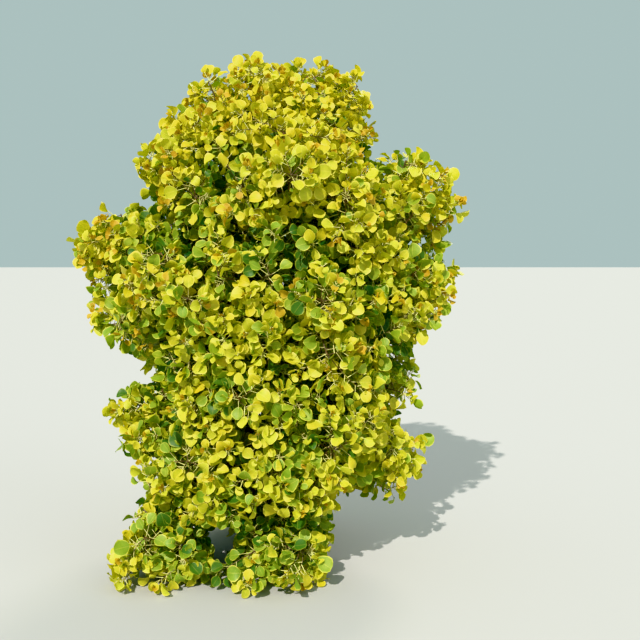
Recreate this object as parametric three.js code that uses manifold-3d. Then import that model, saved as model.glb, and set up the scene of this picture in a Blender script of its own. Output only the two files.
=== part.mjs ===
// A golden smoke bush in full leaf, rooted in level ground. A short stem forks at its foot
// into boughs, side boughs spring from those, and each bough ends where it enters its own
// mass of foliage. A mass is one stem that branches into twigs, with a whorl of round leaves
// towards the end of each twig. Every leaf here stands for a spray of the real bush's leaves,
// so it is larger than life.
// Millimetres, +Z up, +X to the right of someone who faces the bush, +Y away from them.
// The origin is the middle of the flat cut under the stem, at ground level.
import * as THREE from "three";
import { mergeVertices } from "three/addons/utils/BufferGeometryUtils.js";
import Module from "manifold-3d";

const wasm = await Module();
wasm.setup();

// Driving dimensions
const joinGap = 0.3; // between two pieces that meet
const groundGap = 8; // lowest leaf above the ground
const goldenTurn = 2.39996; // radians round a mass from one twig to the next
const finest = 0.1; // detail that is dropped

const stem = {
  footRadius: 92,
  neckRadius: 54,
  height: 165,
  flareHeight: 95,
  flareDepth: 0.16, // how far the root buttresses stand out, as a share of the radius
  buttresses: 5,
  lean: 0.05,
  sides: 16,
};

const limb = {
  startHeight: 55, // where the boughs' middle lines leave the middle of the stem
  forkLength: 190, // of each bough that is one solid with the stem
  splay: 0.62, // sideways for each unit upwards, where a bough leaves the stem
  mainRadius: 23,
  sideRadius: 12.5,
  tipRadius: 8,
  sides: 5,
  steps: 4,
  sideSteps: 3,
};

const twig = {
  stemRadius: 9,
  radius: 6,
  tipRadius: 5,
  perMass: 7,
  reach: 0.8, // of the way from the middle of the mass to its outside, where nothing is near
  shortest: 0.4, // reach of a twig that is worth growing
  spread: 1.8, // how much of the mass, seen from its middle, the twigs point to: 2 is all of it
};

const leaf = {
  length: 204,
  width: 196,
  rise: 8, // of the middle above the rim
  perTwig: 4,
  whorl: 0.55, // share of the twig that carries leaves
  forward: 0.15, // how much a leaf leans along its twig
  tipForward: 0.7, // the same for the leaf at its tip
  outlook: 0.35, // from the middle of the mass to where its leaves face away from
  skylight: 0.8, // how much a leaf faces up, for each unit that its place is higher up
  lieFlat: 0.75, // how far a leaf is bent down to the surface of the crown
  sizeSpread: 0.2,
  tries: 18, // places that a leaf tries before it is left out
  limbClearance: 26,
  massClearance: 0.025, // between two masses, as a share of their reach
};

// Across and along a leaf from its root, as shares of its width and length
const leafRim = [
  [0, 0],
  [0.48, 0.6],
  [0.29, 1],
  [-0.29, 1],
  [-0.48, 0.6],
];
const leafMiddle = [0, 0.62];

// Each mass: its middle, its reach each way from there, and the limb that its bough springs
// from, with how far along that limb it does so.
const masses = {
  crown_top: { middle: [115, -20, 2050], reach: [330, 305, 318], from: "stem" },
  right_shoulder: { middle: [690, 0, 1650], reach: [298, 285, 272], from: "stem" },
  left_shoulder: { middle: [-595, 0, 1445], reach: [308, 275, 225], from: "stem" },
  back_right: { middle: [420, 380, 1270], reach: [330, 290, 290], from: "stem" },
  back_left: { middle: [-330, 370, 1310], reach: [320, 290, 290], from: "stem" },
  front_right: { middle: [310, -410, 1140], reach: [300, 260, 260], from: "stem" },
  front_left: { middle: [-250, -390, 1260], reach: [300, 265, 260], from: "stem" },
  crown_right: { middle: [345, 10, 2035], reach: [225, 268, 312], from: "crown_top", at: 0.66 },
  crown_left: { middle: [-140, 0, 2050], reach: [255, 268, 295], from: "crown_top", at: 0.58 },
  upper_left: { middle: [-315, -10, 1815], reach: [285, 290, 250], from: "crown_top", at: 0.44 },
  front_upper: { middle: [180, -370, 1710], reach: [330, 268, 280], from: "crown_top", at: 0.36 },
  back_upper: { middle: [60, 350, 1770], reach: [380, 285, 300], from: "crown_top", at: 0.5 },
  mid_right: { middle: [440, -170, 1480], reach: [270, 262, 250], from: "right_shoulder", at: 0.62 },
  right_middle: { middle: [710, -50, 1250], reach: [296, 285, 228], from: "right_shoulder", at: 0.52 },
  right_low: { middle: [500, -60, 845], reach: [300, 278, 250], from: "right_shoulder", at: 0.38 },
  right_foot: { middle: [515, -60, 490], reach: [300, 278, 270], from: "right_shoulder", at: 0.25 },
  left_middle: { middle: [-520, -60, 1140], reach: [295, 275, 195], from: "left_shoulder", at: 0.5 },
  left_low: { middle: [-400, -80, 660], reach: [290, 280, 250], from: "left_shoulder", at: 0.3 },
  mid_left: { middle: [-220, -150, 1590], reach: [262, 255, 225], from: "front_left", at: 0.62 },
  front_waist: { middle: [-75, -410, 880], reach: [315, 265, 260], from: "front_left", at: 0.46 },
  foot_left: { middle: [-235, -300, 450], reach: [280, 258, 220], from: "front_left", at: 0.32 },
  front_middle: { middle: [35, -430, 1300], reach: [278, 250, 285], from: "front_right", at: 0.52 },
  front_low: { middle: [250, -380, 620], reach: [305, 265, 250], from: "front_right", at: 0.32 },
  back_shoulder: { middle: [460, 270, 1640], reach: [285, 260, 245], from: "back_right", at: 0.6 },
  back_low_left: { middle: [-290, 350, 790], reach: [322, 275, 278], from: "back_left", at: 0.4 },
  back_low_right: { middle: [330, 365, 760], reach: [332, 275, 278], from: "back_right", at: 0.4 },
  skirt_left: { middle: [-375, -330, 165], reach: [272, 258, 200], from: "front_left", at: 0.2 },
  skirt_front: { middle: [85, -355, 165], reach: [310, 275, 205], from: "front_right", at: 0.18 },
  skirt_back: { middle: [-30, 310, 285], reach: [355, 270, 270], from: "back_left", at: 0.2 },
};
const names = Object.keys(masses);

const bark = new THREE.MeshStandardMaterial({ color: 0x6e5c4a, roughness: 0.9, metalness: 0 });
const golden = new THREE.MeshStandardMaterial({
  color: 0xd9cb1c,
  roughness: 0.55,
  metalness: 0,
  flatShading: true,
});

const up = new THREE.Vector3(0, 0, 1);
const vector = (numbers) => new THREE.Vector3(...numbers);

// A repeatable number from 0 to 1 for three whole numbers
function chance(a, b, c) {
  const wave = Math.sin(a * 12.9898 + b * 78.233 + c * 37.719) * 43758.5453;
  return wave - Math.floor(wave);
}

// The point of the bush's middle line that lies inside and under a mass
function coreUnder(middle) {
  const height = Math.min(Math.max(middle.z - 260, 0.55 * middle.z), 1500);
  return new THREE.Vector3(0.04 * height, 0, height);
}

// How far out of a mass a point lies: 0 at the middle of the mass and 1 at its outside
function depthIn(mass, point) {
  return Math.hypot(
    (point.x - mass.middle[0]) / mass.reach[0],
    (point.y - mass.middle[1]) / mass.reach[1],
    (point.z - mass.middle[2]) / mass.reach[2],
  );
}

// Two directions square to each other and to a third
function sideways(direction, reference) {
  const first = reference.clone().addScaledVector(direction, -reference.dot(direction)).normalize();
  return [first, first.clone().cross(direction)];
}

// A closed geometry's solid
function solidOf(geometry) {
  geometry.deleteAttribute("normal");
  geometry.deleteAttribute("uv");
  const merged = mergeVertices(geometry, 1e-4);
  return new wasm.Manifold(
    new wasm.Mesh({
      numProp: 3,
      vertProperties: merged.attributes.position.array,
      triVerts: new Uint32Array(merged.index.array),
    }),
  );
}

// A cylinder bent along a stretch of a curve, with a radius that runs evenly from one end to
// the other
function rod(curve, { from = 0, to = 1, startRadius, endRadius, sides, steps, reference }) {
  const geometry = new THREE.CylinderGeometry(1, 1, 1, sides, steps);
  const place = geometry.attributes.position;
  for (let i = 0; i < place.count; i++) {
    const share = place.getY(i) + 0.5;
    const t = from + (to - from) * share;
    const [first, second] = sideways(curve.getTangent(t), reference);
    const radius = startRadius + (endRadius - startRadius) * share;
    const point = curve
      .getPoint(t)
      .addScaledVector(first, radius * place.getX(i))
      .addScaledVector(second, radius * place.getZ(i));
    place.setXYZ(i, point.x, point.y, point.z);
  }
  return solidOf(geometry);
}

// A bough's radius at a share of its length
const radiusAt = (line, share) => line.startRadius + (line.endRadius - line.startRadius) * share;

// The middle line and radii of the bough that carries a mass
function boughLine(name) {
  const { middle: at, reach, from, at: share } = masses[name];
  const middle = vector(at);
  const inwards = coreUnder(middle).sub(middle);
  const depth = inwards.clone().divide(vector(reach)).length();
  const end = middle.clone().addScaledVector(inwards, 0.6 / depth);
  const fromStem = from === "stem";
  const parent = fromStem ? null : boughs[from];
  const start = fromStem
    ? new THREE.Vector3(stem.lean * limb.startHeight, 0, limb.startHeight)
    : parent.curve.getPoint(share);
  const outwards = end.clone().sub(start);
  const length = outwards.length();
  const heading = outwards.clone().setZ(0).normalize();
  const splay = Math.min(limb.splay, Math.hypot(middle.x, middle.y) / 700);
  const rise = fromStem
    ? up.clone().addScaledVector(heading, splay)
    : parent.curve.getTangent(share).multiplyScalar(0.9).addScaledVector(heading, 0.9);
  const bend = start.clone().addScaledVector(rise.normalize(), length * 0.36);
  const enter = middle.clone().sub(end).normalize();
  const lead = end.clone().addScaledVector(enter, -length * 0.3);
  const curve = new THREE.CubicBezierCurve3(start, bend, lead, end);
  const reference = heading.clone().cross(up);
  const startRadius = fromStem
    ? limb.mainRadius
    : Math.min(limb.sideRadius, 0.75 * radiusAt(parent, share));
  return { curve, reference, startRadius, endRadius: limb.tipRadius, from, length };
}

const boughs = {};
for (const name of names) boughs[name] = boughLine(name);

// Where along a bough a given distance from its start is reached
function shareAt(line, distance) {
  const start = line.curve.getPoint(0);
  let [low, high] = [0, 1];
  for (let i = 0; i < 40; i++) {
    const share = (low + high) / 2;
    if (line.curve.getPoint(share).distanceTo(start) < distance) low = share;
    else high = share;
  }
  return high;
}

// The whole or a stretch of a bough, thicker all round by a margin
function boughSolid(line, from, to, steps, margin = 0) {
  return rod(line.curve, {
    from,
    to,
    startRadius: radiusAt(line, from) + margin,
    endRadius: radiusAt(line, to) + margin,
    sides: limb.sides,
    steps,
    reference: line.reference,
  });
}

// The part of a bough beyond the fork, which is all of it where it springs from another bough
function boughBeyondFork(line, margin = 0) {
  const from = line.from === "stem" ? shareAt(line, limb.forkLength + joinGap) : 0;
  return boughSolid(line, from, 1, line.from === "stem" ? limb.steps : limb.sideSteps, margin);
}

// The largest of a solid's separate bodies, without its shortest edges
function largest(solid) {
  const body = solid.decompose().reduce((a, b) => (a.volume() > b.volume() ? a : b));
  return body.asOriginal().simplify(finest);
}

// The short stem: a turned foot with root buttresses and a flat cut at the ground, and the
// first stretch of each bough that forks from it
function stemSolid() {
  const profile = [
    [0, 0],
    [stem.footRadius, 0],
    [stem.footRadius * 0.88, stem.height * 0.1],
    [stem.neckRadius * 1.2, stem.height * 0.32],
    [stem.neckRadius, stem.height * 0.62],
    [stem.neckRadius * 0.86, stem.height * 0.86],
    [stem.neckRadius * 0.45, stem.height],
    [0, stem.height * 1.05],
  ].map(([radius, height]) => new THREE.Vector2(radius, height));
  const geometry = new THREE.LatheGeometry(profile, stem.sides).rotateX(Math.PI / 2);
  const place = geometry.attributes.position;
  for (let i = 0; i < place.count; i++) {
    const point = new THREE.Vector3().fromBufferAttribute(place, i);
    const angle = Math.atan2(point.y, point.x);
    const low = Math.max(0, 1 - point.z / stem.flareHeight) ** 2;
    const swell = 1 + stem.flareDepth * low * Math.cos(stem.buttresses * angle);
    const height = Math.max(point.z, 0);
    place.setXYZ(i, point.x * swell + stem.lean * height, point.y * swell, height);
  }
  const forks = names
    .filter((name) => masses[name].from === "stem")
    .map((name) => boughSolid(boughs[name], 0, shareAt(boughs[name], limb.forkLength), 2));
  return largest(wasm.Manifold.union([solidOf(geometry), ...forks]));
}

// A bough as its own solid: it starts just past the fork, or is cut to lie on the limb that
// it springs from
function boughPiece(name) {
  const line = boughs[name];
  const whole = boughBeyondFork(line);
  if (line.from === "stem") return whole;
  const saddle = boughBeyondFork(boughs[line.from], joinGap * 1.2);
  return largest(whole.subtract(saddle));
}

// Short straight stretches of all the boughs, for keeping foliage clear of them
const limbStretches = names.flatMap((name) => {
  const count = 12;
  return Array.from({ length: count }, (_, i) => ({
    owner: name,
    line: new THREE.Line3(
      boughs[name].curve.getPoint(i / count),
      boughs[name].curve.getPoint((i + 1) / count),
    ),
    radius: radiusAt(boughs[name], i / count),
  }));
});

const nearest = new THREE.Vector3();
function clearOfLimbs(point, clearance) {
  return limbStretches.every(({ line, radius }) => {
    line.closestPointToPoint(point, true, nearest);
    return nearest.distanceTo(point) > radius + clearance;
  });
}

// Whether a point is above ground, within its mass and well outside every other mass
function inOwnSpace(point, name, clearance) {
  const depth = depthIn(masses[name], point);
  return (
    point.z > groundGap &&
    depth <= 1 &&
    names.every((other) => other === name || depthIn(masses[other], point) > depth + clearance)
  );
}

// The corners of a leaf: five round its rim, and its raised middle
function leafCorners(root, along, facing, size) {
  const across = along.clone().cross(facing);
  const corner = ([side, far], height) =>
    root
      .clone()
      .addScaledVector(across, side * leaf.width * size)
      .addScaledVector(along, far * leaf.length * size)
      .addScaledVector(facing, height);
  return [...leafRim.map((share) => corner(share, 0)), corner(leafMiddle, leaf.rise)];
}

// A leaf of eight faces: a fan of five up to its raised middle, and three flat ones below
function leafSolid(corners) {
  const faces = [0, 1, 2, 3, 4].flatMap((i) => [i, (i + 1) % 5, 5]);
  faces.push(0, 4, 1, 1, 4, 3, 1, 3, 2);
  return new wasm.Manifold(
    new wasm.Mesh({
      numProp: 3,
      vertProperties: new Float32Array(corners.flatMap((corner) => corner.toArray())),
      triVerts: new Uint32Array(faces),
    }),
  );
}

// Points spread over a leaf, between its corners as well as at them
function leafProbes(corners) {
  const middle = corners[5];
  const rim = corners.slice(0, 5);
  const between = rim.map((corner, i) => corner.clone().lerp(rim[(i + 1) % 5], 0.5));
  const inner = rim.map((corner) => corner.clone().lerp(middle, 0.5));
  return [...corners, ...between, ...inner];
}

// Whether the straight line between two points passes through a leaf
function cuts(from, to, corners) {
  const root = corners[0];
  const along = corners[2].clone().add(corners[3]).multiplyScalar(0.5).sub(root);
  const across = corners[1].clone().sub(corners[4]);
  const facing = across.clone().cross(along);
  const start = from.clone().sub(root).dot(facing);
  const end = to.clone().sub(root).dot(facing);
  if (start * end >= 0) return false;
  const point = from.clone().lerp(to, start / (start - end)).sub(root);
  const side = Math.abs(point.dot(across)) / across.lengthSq();
  const far = point.dot(along) / along.lengthSq();
  return far < 1.03 && side < 0.02 + Math.min(0.8 * far, 0.48, 0.77 - 0.48 * far);
}

// Whether the rims of two leaves pass through each other
function crosses(corners, other) {
  const rim = [0, 1, 2, 3, 4].map((i) => [i, (i + 1) % 5]);
  return rim.some(
    ([i, j]) => cuts(corners[i], corners[j], other) || cuts(other[i], other[j], corners),
  );
}

// Which way the light comes from at a point of a mass: out from the crown's side of its middle
function lightAt(point, name) {
  const middle = vector(masses[name].middle);
  const inwards = coreUnder(middle).sub(middle).normalize().multiply(vector(masses[name].reach));
  const out = point.clone().sub(middle).addScaledVector(inwards, -leaf.outlook);
  out.z *= leaf.skylight;
  return out.normalize();
}

// One leaf of a twig, turned to the first free place, or nothing where none is free
function leafAt({ line, side, branch, fan }, order, name, twigs, others) {
  const mass = names.indexOf(name);
  const share = 0.97 - (leaf.whorl * order) / (leaf.perTwig - 1);
  const root = line.getPoint(share);
  const tangent = line.getTangent(share);
  const [first, second] = sideways(tangent, side);
  const light = lightAt(root, name);
  for (let attempt = 0; attempt < leaf.tries; attempt++) {
    const face = (order % fan) + Math.floor(attempt / 3);
    const wobble = 0.25 * (chance(mass, branch, order) - 0.5) + 0.35 * (((attempt + 1) % 3) - 1);
    const turn = Math.PI / 6 + (face * 2 * Math.PI) / 3 + wobble;
    const size = 1 + leaf.sizeSpread * (chance(mass, branch, order + 9) - 0.5) - 0.02 * attempt;
    const lean = (order ? leaf.forward : leaf.tipForward) - 0.04 * attempt;
    const spoke = first
      .clone()
      .multiplyScalar(Math.cos(turn))
      .addScaledVector(second, Math.sin(turn));
    const along = spoke
      .clone()
      .addScaledVector(light, -leaf.lieFlat * spoke.dot(light))
      .addScaledVector(tangent, lean)
      .normalize();
    const facing = sideways(along, light)[0];
    const corners = leafCorners(root.clone().addScaledVector(along, -1.2), along, facing, size);
    const probes = leafProbes(corners);
    const free =
      probes.every((point) => inOwnSpace(point, name, leaf.massClearance)) &&
      probes.every((point) => clearOfLimbs(point, leaf.limbClearance)) &&
      !twigs.some((other) => other.line !== line && cuts(other.line.v1, other.line.v2, corners)) &&
      !others.some((other) => crosses(corners, other));
    if (free) return corners;
  }
  return null;
}

// The twigs of a mass: they fork from its stem and point evenly out, each as far as its space
function twigsOf(name, stemLine) {
  const mass = names.indexOf(name);
  const middle = vector(masses[name].middle);
  const outwards = middle.clone().sub(coreUnder(middle)).normalize();
  const reference = Math.abs(outwards.z) > 0.8 ? new THREE.Vector3(1, 0, 0) : up;
  const [first, second] = sideways(outwards, reference);
  const twigs = [];
  for (let branch = 0; branch < twig.perMass; branch++) {
    const level = 1 - (twig.spread * (branch + 0.5)) / twig.perMass;
    const turn = branch * goldenTurn + mass;
    const ring = Math.sqrt(1 - level * level);
    const aim = outwards
      .clone()
      .multiplyScalar(level)
      .addScaledVector(first, ring * Math.cos(turn))
      .addScaledVector(second, ring * Math.sin(turn));
    const root = stemLine.getPoint(1 - (0.6 * branch) / twig.perMass);
    for (let reach = twig.reach; reach > twig.shortest; reach -= 0.04) {
      const way = aim.clone().multiply(vector(masses[name].reach));
      const line = new THREE.LineCurve3(root, middle.clone().addScaledVector(way, reach));
      const probes = [0.4, 0.55, 0.7, 0.8, 0.9, 1].map((share) => line.getPoint(share));
      const free = probes.every(
        (point) => inOwnSpace(point, name, 2 * leaf.massClearance) && clearOfLimbs(point, 10),
      );
      if (!free) continue;
      const tangent = line.getTangent(1);
      const light = lightAt(line.getPoint(0.8), name);
      const lit = light.addScaledVector(tangent, -light.dot(tangent));
      const fan = lit.length() > 0.5 ? 2 : 3;
      twigs.push({ line, side: tangent.clone().cross(lit), branch, fan });
      break;
    }
  }
  return twigs;
}

// A mass of foliage: one stem, the twigs that fork from it, and their leaves
function foliage(name) {
  const end = boughs[name].curve.getPoint(1);
  const heading = boughs[name].curve.getTangent(1);
  const start = end.clone().addScaledVector(heading, joinGap);
  const stemLine = new THREE.LineCurve3(start, vector(masses[name].middle));
  const thin = { sides: 3, steps: 1 };
  const twigs = twigsOf(name, stemLine);
  const pieces = [
    rod(stemLine, {
      ...thin,
      startRadius: twig.stemRadius,
      endRadius: twig.stemRadius,
      reference: sideways(heading, new THREE.Vector3(0.1, 1, 0))[0],
    }),
  ];
  const leaves = [];
  for (const grown of twigs) {
    const radii = { startRadius: twig.radius, endRadius: twig.tipRadius };
    pieces.push(rod(grown.line, { ...thin, ...radii, reference: grown.side }));
    for (let order = 0; order < leaf.perTwig; order++) {
      const corners = leafAt(grown, order, name, twigs, leaves);
      if (corners) leaves.push(corners);
    }
  }
  return largest(wasm.Manifold.union([...pieces, ...leaves.map(leafSolid)]));
}

// A solid as a named mesh
function meshOf(solid, name, material) {
  const { vertProperties, triVerts } = solid.getMesh();
  const geometry = new THREE.BufferGeometry();
  geometry.setAttribute("position", new THREE.BufferAttribute(new Float32Array(vertProperties), 3));
  geometry.setIndex(new THREE.BufferAttribute(new Uint32Array(triVerts), 1));
  geometry.computeVertexNormals();
  const mesh = new THREE.Mesh(geometry, material);
  mesh.name = name;
  return mesh;
}

const bush = new THREE.Group();
bush.name = "smoke_bush";
bush.add(meshOf(stemSolid(), "stem", bark));
for (const name of names) {
  bush.add(meshOf(boughPiece(name), `bough_${name}`, bark));
  bush.add(meshOf(foliage(name), `foliage_${name}`, golden));
}

export default bush;
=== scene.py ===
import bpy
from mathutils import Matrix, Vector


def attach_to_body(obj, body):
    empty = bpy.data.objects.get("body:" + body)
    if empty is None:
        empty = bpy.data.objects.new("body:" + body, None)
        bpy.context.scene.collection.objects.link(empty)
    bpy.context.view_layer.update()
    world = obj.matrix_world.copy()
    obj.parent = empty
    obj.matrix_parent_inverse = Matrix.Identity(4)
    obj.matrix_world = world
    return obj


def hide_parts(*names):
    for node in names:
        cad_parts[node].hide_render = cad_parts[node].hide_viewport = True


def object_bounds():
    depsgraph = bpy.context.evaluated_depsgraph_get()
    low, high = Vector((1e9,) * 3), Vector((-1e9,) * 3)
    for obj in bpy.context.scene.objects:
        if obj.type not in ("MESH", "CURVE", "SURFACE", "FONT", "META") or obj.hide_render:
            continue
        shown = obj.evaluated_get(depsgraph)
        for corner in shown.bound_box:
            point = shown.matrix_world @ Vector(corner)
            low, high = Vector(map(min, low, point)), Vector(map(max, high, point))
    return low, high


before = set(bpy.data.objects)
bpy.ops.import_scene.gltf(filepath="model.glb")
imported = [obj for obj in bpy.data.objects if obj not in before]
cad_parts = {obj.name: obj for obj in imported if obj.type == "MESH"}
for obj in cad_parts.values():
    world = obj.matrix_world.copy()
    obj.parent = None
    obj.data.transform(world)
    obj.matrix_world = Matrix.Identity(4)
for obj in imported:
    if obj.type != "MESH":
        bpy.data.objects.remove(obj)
cadBox = [list(corner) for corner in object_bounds()]

# A golden smoke bush in full leaf. Its limbs, twigs and leaf sprays grow by the rule of the
# part's source, and each leaf of the source becomes a shoot with a rosette of leaves.
# Metres, +Z up, +X to the right of someone who faces the bush, +Y away from them.
import math

import bpy
import numpy as np
from mathutils import Vector

draw = np.random.default_rng(29)
up = np.array([0.0, 0.0, 1.0])
goldenTurn = 2.39996  # radians round an axis from one twig or leaf to the next
groundGap = 0.008


# For each pair of vectors, the sum of the products of their parts
def dot(a, b):
    return np.sum(a * b, axis=-1, keepdims=True)


# Each vector divided by its length
def unit(way):
    return way / np.sqrt(dot(way, way)).clip(1e-9)


# Two directions square to each other and to a third: the reference less its share along the
# third, and the cross product of the two
def sideways(direction, reference):
    first = unit(reference - direction * dot(reference, direction))
    return first, np.cross(first, direction)


# The source's repeatable number from 0 to 1 for three whole numbers: what a large multiple of
# the sine of their weighed sum has after the point
def chance(a, b, c):
    wave = math.sin(a * 12.9898 + b * 78.233 + c * 37.719) * 43758.5453
    return wave - math.floor(wave)


# Points of a cubic curve: its four points weighed by the powers of t and of 1 - t
def curvePoint(curve, t):
    t = np.asarray(t, float)[..., None]
    a, b, c, d = (curve[..., i, :] for i in range(4))
    return (1 - t) ** 3 * a + 3 * (1 - t) ** 2 * t * b + 3 * (1 - t) * t**2 * c + t**3 * d


# The way of a curve at t: from its point a small step before t to its point a step after
def curveTangent(curve, t, step=1e-4):
    before = curvePoint(curve, np.maximum(np.asarray(t, float) - step, 0))
    return unit(curvePoint(curve, np.minimum(np.asarray(t, float) + step, 1)) - before)


# The growth rule of the source: its stem, limbs and twigs, and the places of its leaves
stem = {
    "footRadius": 0.092,
    "neckRadius": 0.054,
    "height": 0.165,
    "flareHeight": 0.095,
    "flareDepth": 0.16,
    "buttresses": 5,
    "lean": 0.05,
}
limb = {
    "startHeight": 0.055,
    "splay": 0.62,
    "splayReach": 0.7,  # how far out the mass of a bough with the full splay stands
    "mainRadius": 0.023,
    "sideRadius": 0.0125,
    "sideShare": 0.75,  # a side bough's radius is at most this share of its parent's
    "tipRadius": 0.008,
    "end": 0.6,  # where a bough ends, as a share of its mass's reach
    "alongParent": 0.9,  # a side bough starts along its parent and outwards
    "outwards": 0.9,
    "bend": 0.36,  # shares of the length to the curve's two inner points
    "lead": 0.3,
}
middleLine = {"below": 0.26, "heightShare": 0.55, "highest": 1.5, "lean": 0.04}
twig = {
    "radius": 0.006,
    "tipRadius": 0.0028,
    "perMass": 7,
    "reach": 0.8,  # shares of the mass's reach: the longest, the shortest and the step between
    "shortest": 0.4,
    "shorter": 0.04,
    "spread": 1.8,
    "forks": 0.6,  # the share of the mass's stem that the twigs fork from
    "gap": 0.0003,
    "probes": (0.4, 0.55, 0.7, 0.8, 0.9, 1),
    "clearance": 0.01,
    "litShare": 0.8,  # where along the twig its light is taken
    "sidelong": 0.5,  # the light across a twig above which its leaves stand in two rows
}
site = {
    "length": 0.204,
    "width": 0.196,
    "rise": 0.008,
    "perTwig": 4,
    "highest": 0.97,  # the share of the twig up to its last leaf
    "whorl": 0.55,
    "wobble": 0.25,
    "forward": 0.15,
    "tipForward": 0.7,
    "outlook": 0.35,
    "skylight": 0.8,
    "lieFlat": 0.75,
    "sizeSpread": 0.2,
    "sunk": 0.0012,
    "tries": 18,
    "tryTurn": 0.35,  # what changes from one try to the next
    "trySmaller": 0.02,
    "tryLower": 0.04,
    "limbClearance": 0.026,
    "massClearance": 0.025,
}
siteRim = [(0, 0), (0.48, 0.6), (0.29, 1), (-0.29, 1), (-0.48, 0.6)]
siteMiddle = (0, 0.62)
# A source leaf's half width as a share of its width: it rises from the root to its widest and
# falls to the tip. The margin keeps other leaves and twigs off its rim.
siteEdge = {
    "rise": 0.8,
    "widest": 0.48,
    "fallFrom": 0.77,
    "fall": 0.48,
    "margin": 0.02,
    "tip": 1.03,
}

# Each mass: its middle, its reach each way, and the limb its bough springs from, and where
masses = {
    "crown_top": ((0.115, -0.02, 2.05), (0.33, 0.305, 0.318), "stem", 0),
    "right_shoulder": ((0.69, 0, 1.65), (0.298, 0.285, 0.272), "stem", 0),
    "left_shoulder": ((-0.595, 0, 1.445), (0.308, 0.275, 0.225), "stem", 0),
    "back_right": ((0.42, 0.38, 1.27), (0.33, 0.29, 0.29), "stem", 0),
    "back_left": ((-0.33, 0.37, 1.31), (0.32, 0.29, 0.29), "stem", 0),
    "front_right": ((0.31, -0.41, 1.14), (0.3, 0.26, 0.26), "stem", 0),
    "front_left": ((-0.25, -0.39, 1.26), (0.3, 0.265, 0.26), "stem", 0),
    "crown_right": ((0.345, 0.01, 2.035), (0.225, 0.268, 0.312), "crown_top", 0.66),
    "crown_left": ((-0.14, 0, 2.05), (0.255, 0.268, 0.295), "crown_top", 0.58),
    "upper_left": ((-0.315, -0.01, 1.815), (0.285, 0.29, 0.25), "crown_top", 0.44),
    "front_upper": ((0.18, -0.37, 1.71), (0.33, 0.268, 0.28), "crown_top", 0.36),
    "back_upper": ((0.06, 0.35, 1.77), (0.38, 0.285, 0.3), "crown_top", 0.5),
    "mid_right": ((0.44, -0.17, 1.48), (0.27, 0.262, 0.25), "right_shoulder", 0.62),
    "right_middle": ((0.71, -0.05, 1.25), (0.296, 0.285, 0.228), "right_shoulder", 0.52),
    "right_low": ((0.5, -0.06, 0.845), (0.3, 0.278, 0.25), "right_shoulder", 0.38),
    "right_foot": ((0.515, -0.06, 0.49), (0.3, 0.278, 0.27), "right_shoulder", 0.25),
    "left_middle": ((-0.52, -0.06, 1.14), (0.295, 0.275, 0.195), "left_shoulder", 0.5),
    "left_low": ((-0.4, -0.08, 0.66), (0.29, 0.28, 0.25), "left_shoulder", 0.3),
    "mid_left": ((-0.22, -0.15, 1.59), (0.262, 0.255, 0.225), "front_left", 0.62),
    "front_waist": ((-0.075, -0.41, 0.88), (0.315, 0.265, 0.26), "front_left", 0.46),
    "foot_left": ((-0.235, -0.3, 0.45), (0.28, 0.258, 0.22), "front_left", 0.32),
    "front_middle": ((0.035, -0.43, 1.3), (0.278, 0.25, 0.285), "front_right", 0.52),
    "front_low": ((0.25, -0.38, 0.62), (0.305, 0.265, 0.25), "front_right", 0.32),
    "back_shoulder": ((0.46, 0.27, 1.64), (0.285, 0.26, 0.245), "back_right", 0.6),
    "back_low_left": ((-0.29, 0.35, 0.79), (0.322, 0.275, 0.278), "back_left", 0.4),
    "back_low_right": ((0.33, 0.365, 0.76), (0.332, 0.275, 0.278), "back_right", 0.4),
    "skirt_left": ((-0.375, -0.33, 0.165), (0.272, 0.258, 0.2), "front_left", 0.2),
    "skirt_front": ((0.085, -0.355, 0.165), (0.31, 0.275, 0.205), "front_right", 0.18),
    "skirt_back": ((-0.03, 0.31, 0.285), (0.355, 0.27, 0.27), "back_left", 0.2),
}
names = list(masses)
middles = np.array([masses[name][0] for name in names], float)
reaches = np.array([masses[name][1] for name in names], float)


# The point of the bush's leaning middle line that lies inside and under a mass
def coreUnder(middle):
    height = max(middle[2] - middleLine["below"], middleLine["heightShare"] * middle[2])
    height = min(height, middleLine["highest"])
    return np.array([middleLine["lean"] * height, 0, height])


# A bough's radius, which changes evenly from its start to its end
def radiusAt(bough, share):
    return bough["startRadius"] + (bough["endRadius"] - bough["startRadius"]) * share


# A bough's curve: it rises steeply from its limb, bends outwards and points at its mass
def boughLine(name, boughs):
    middle, reach = np.array(masses[name][0], float), np.array(masses[name][1])
    parentName, share = masses[name][2:]
    inwards = coreUnder(middle) - middle
    end = middle + inwards * limb["end"] / np.linalg.norm(inwards / reach)
    parent = boughs.get(parentName)
    start = np.array([stem["lean"] * limb["startHeight"], 0, limb["startHeight"]])
    if parent:
        start = curvePoint(parent["curve"], share)
    length = np.linalg.norm(end - start)
    heading = unit((end - start) * [1, 1, 0])
    rise = up + heading * min(limb["splay"], math.hypot(middle[0], middle[1]) / limb["splayReach"])
    startRadius = limb["mainRadius"]
    if parent:
        rise = limb["alongParent"] * curveTangent(parent["curve"], share)
        rise = rise + limb["outwards"] * heading
        startRadius = min(limb["sideRadius"], limb["sideShare"] * radiusAt(parent, share))
    bend = start + unit(rise) * length * limb["bend"]
    lead = end - unit(middle - end) * length * limb["lead"]
    return {
        "curve": np.array([start, bend, lead, end]),
        "reference": np.cross(heading, up),
        "startRadius": startRadius,
        "endRadius": limb["tipRadius"],
        "length": length,
        "main": parent is None,
    }


boughs = {}
for name in names:
    boughs[name] = boughLine(name, boughs)

# How far leaves may reach: a little past the solids at the sides, and hardly higher than they do
pastSolids = np.array([[-0.04, -0.026, 0], [0.04, 0.026, 0.002]])
reachBox = np.array(cadBox) + pastSolids

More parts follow.
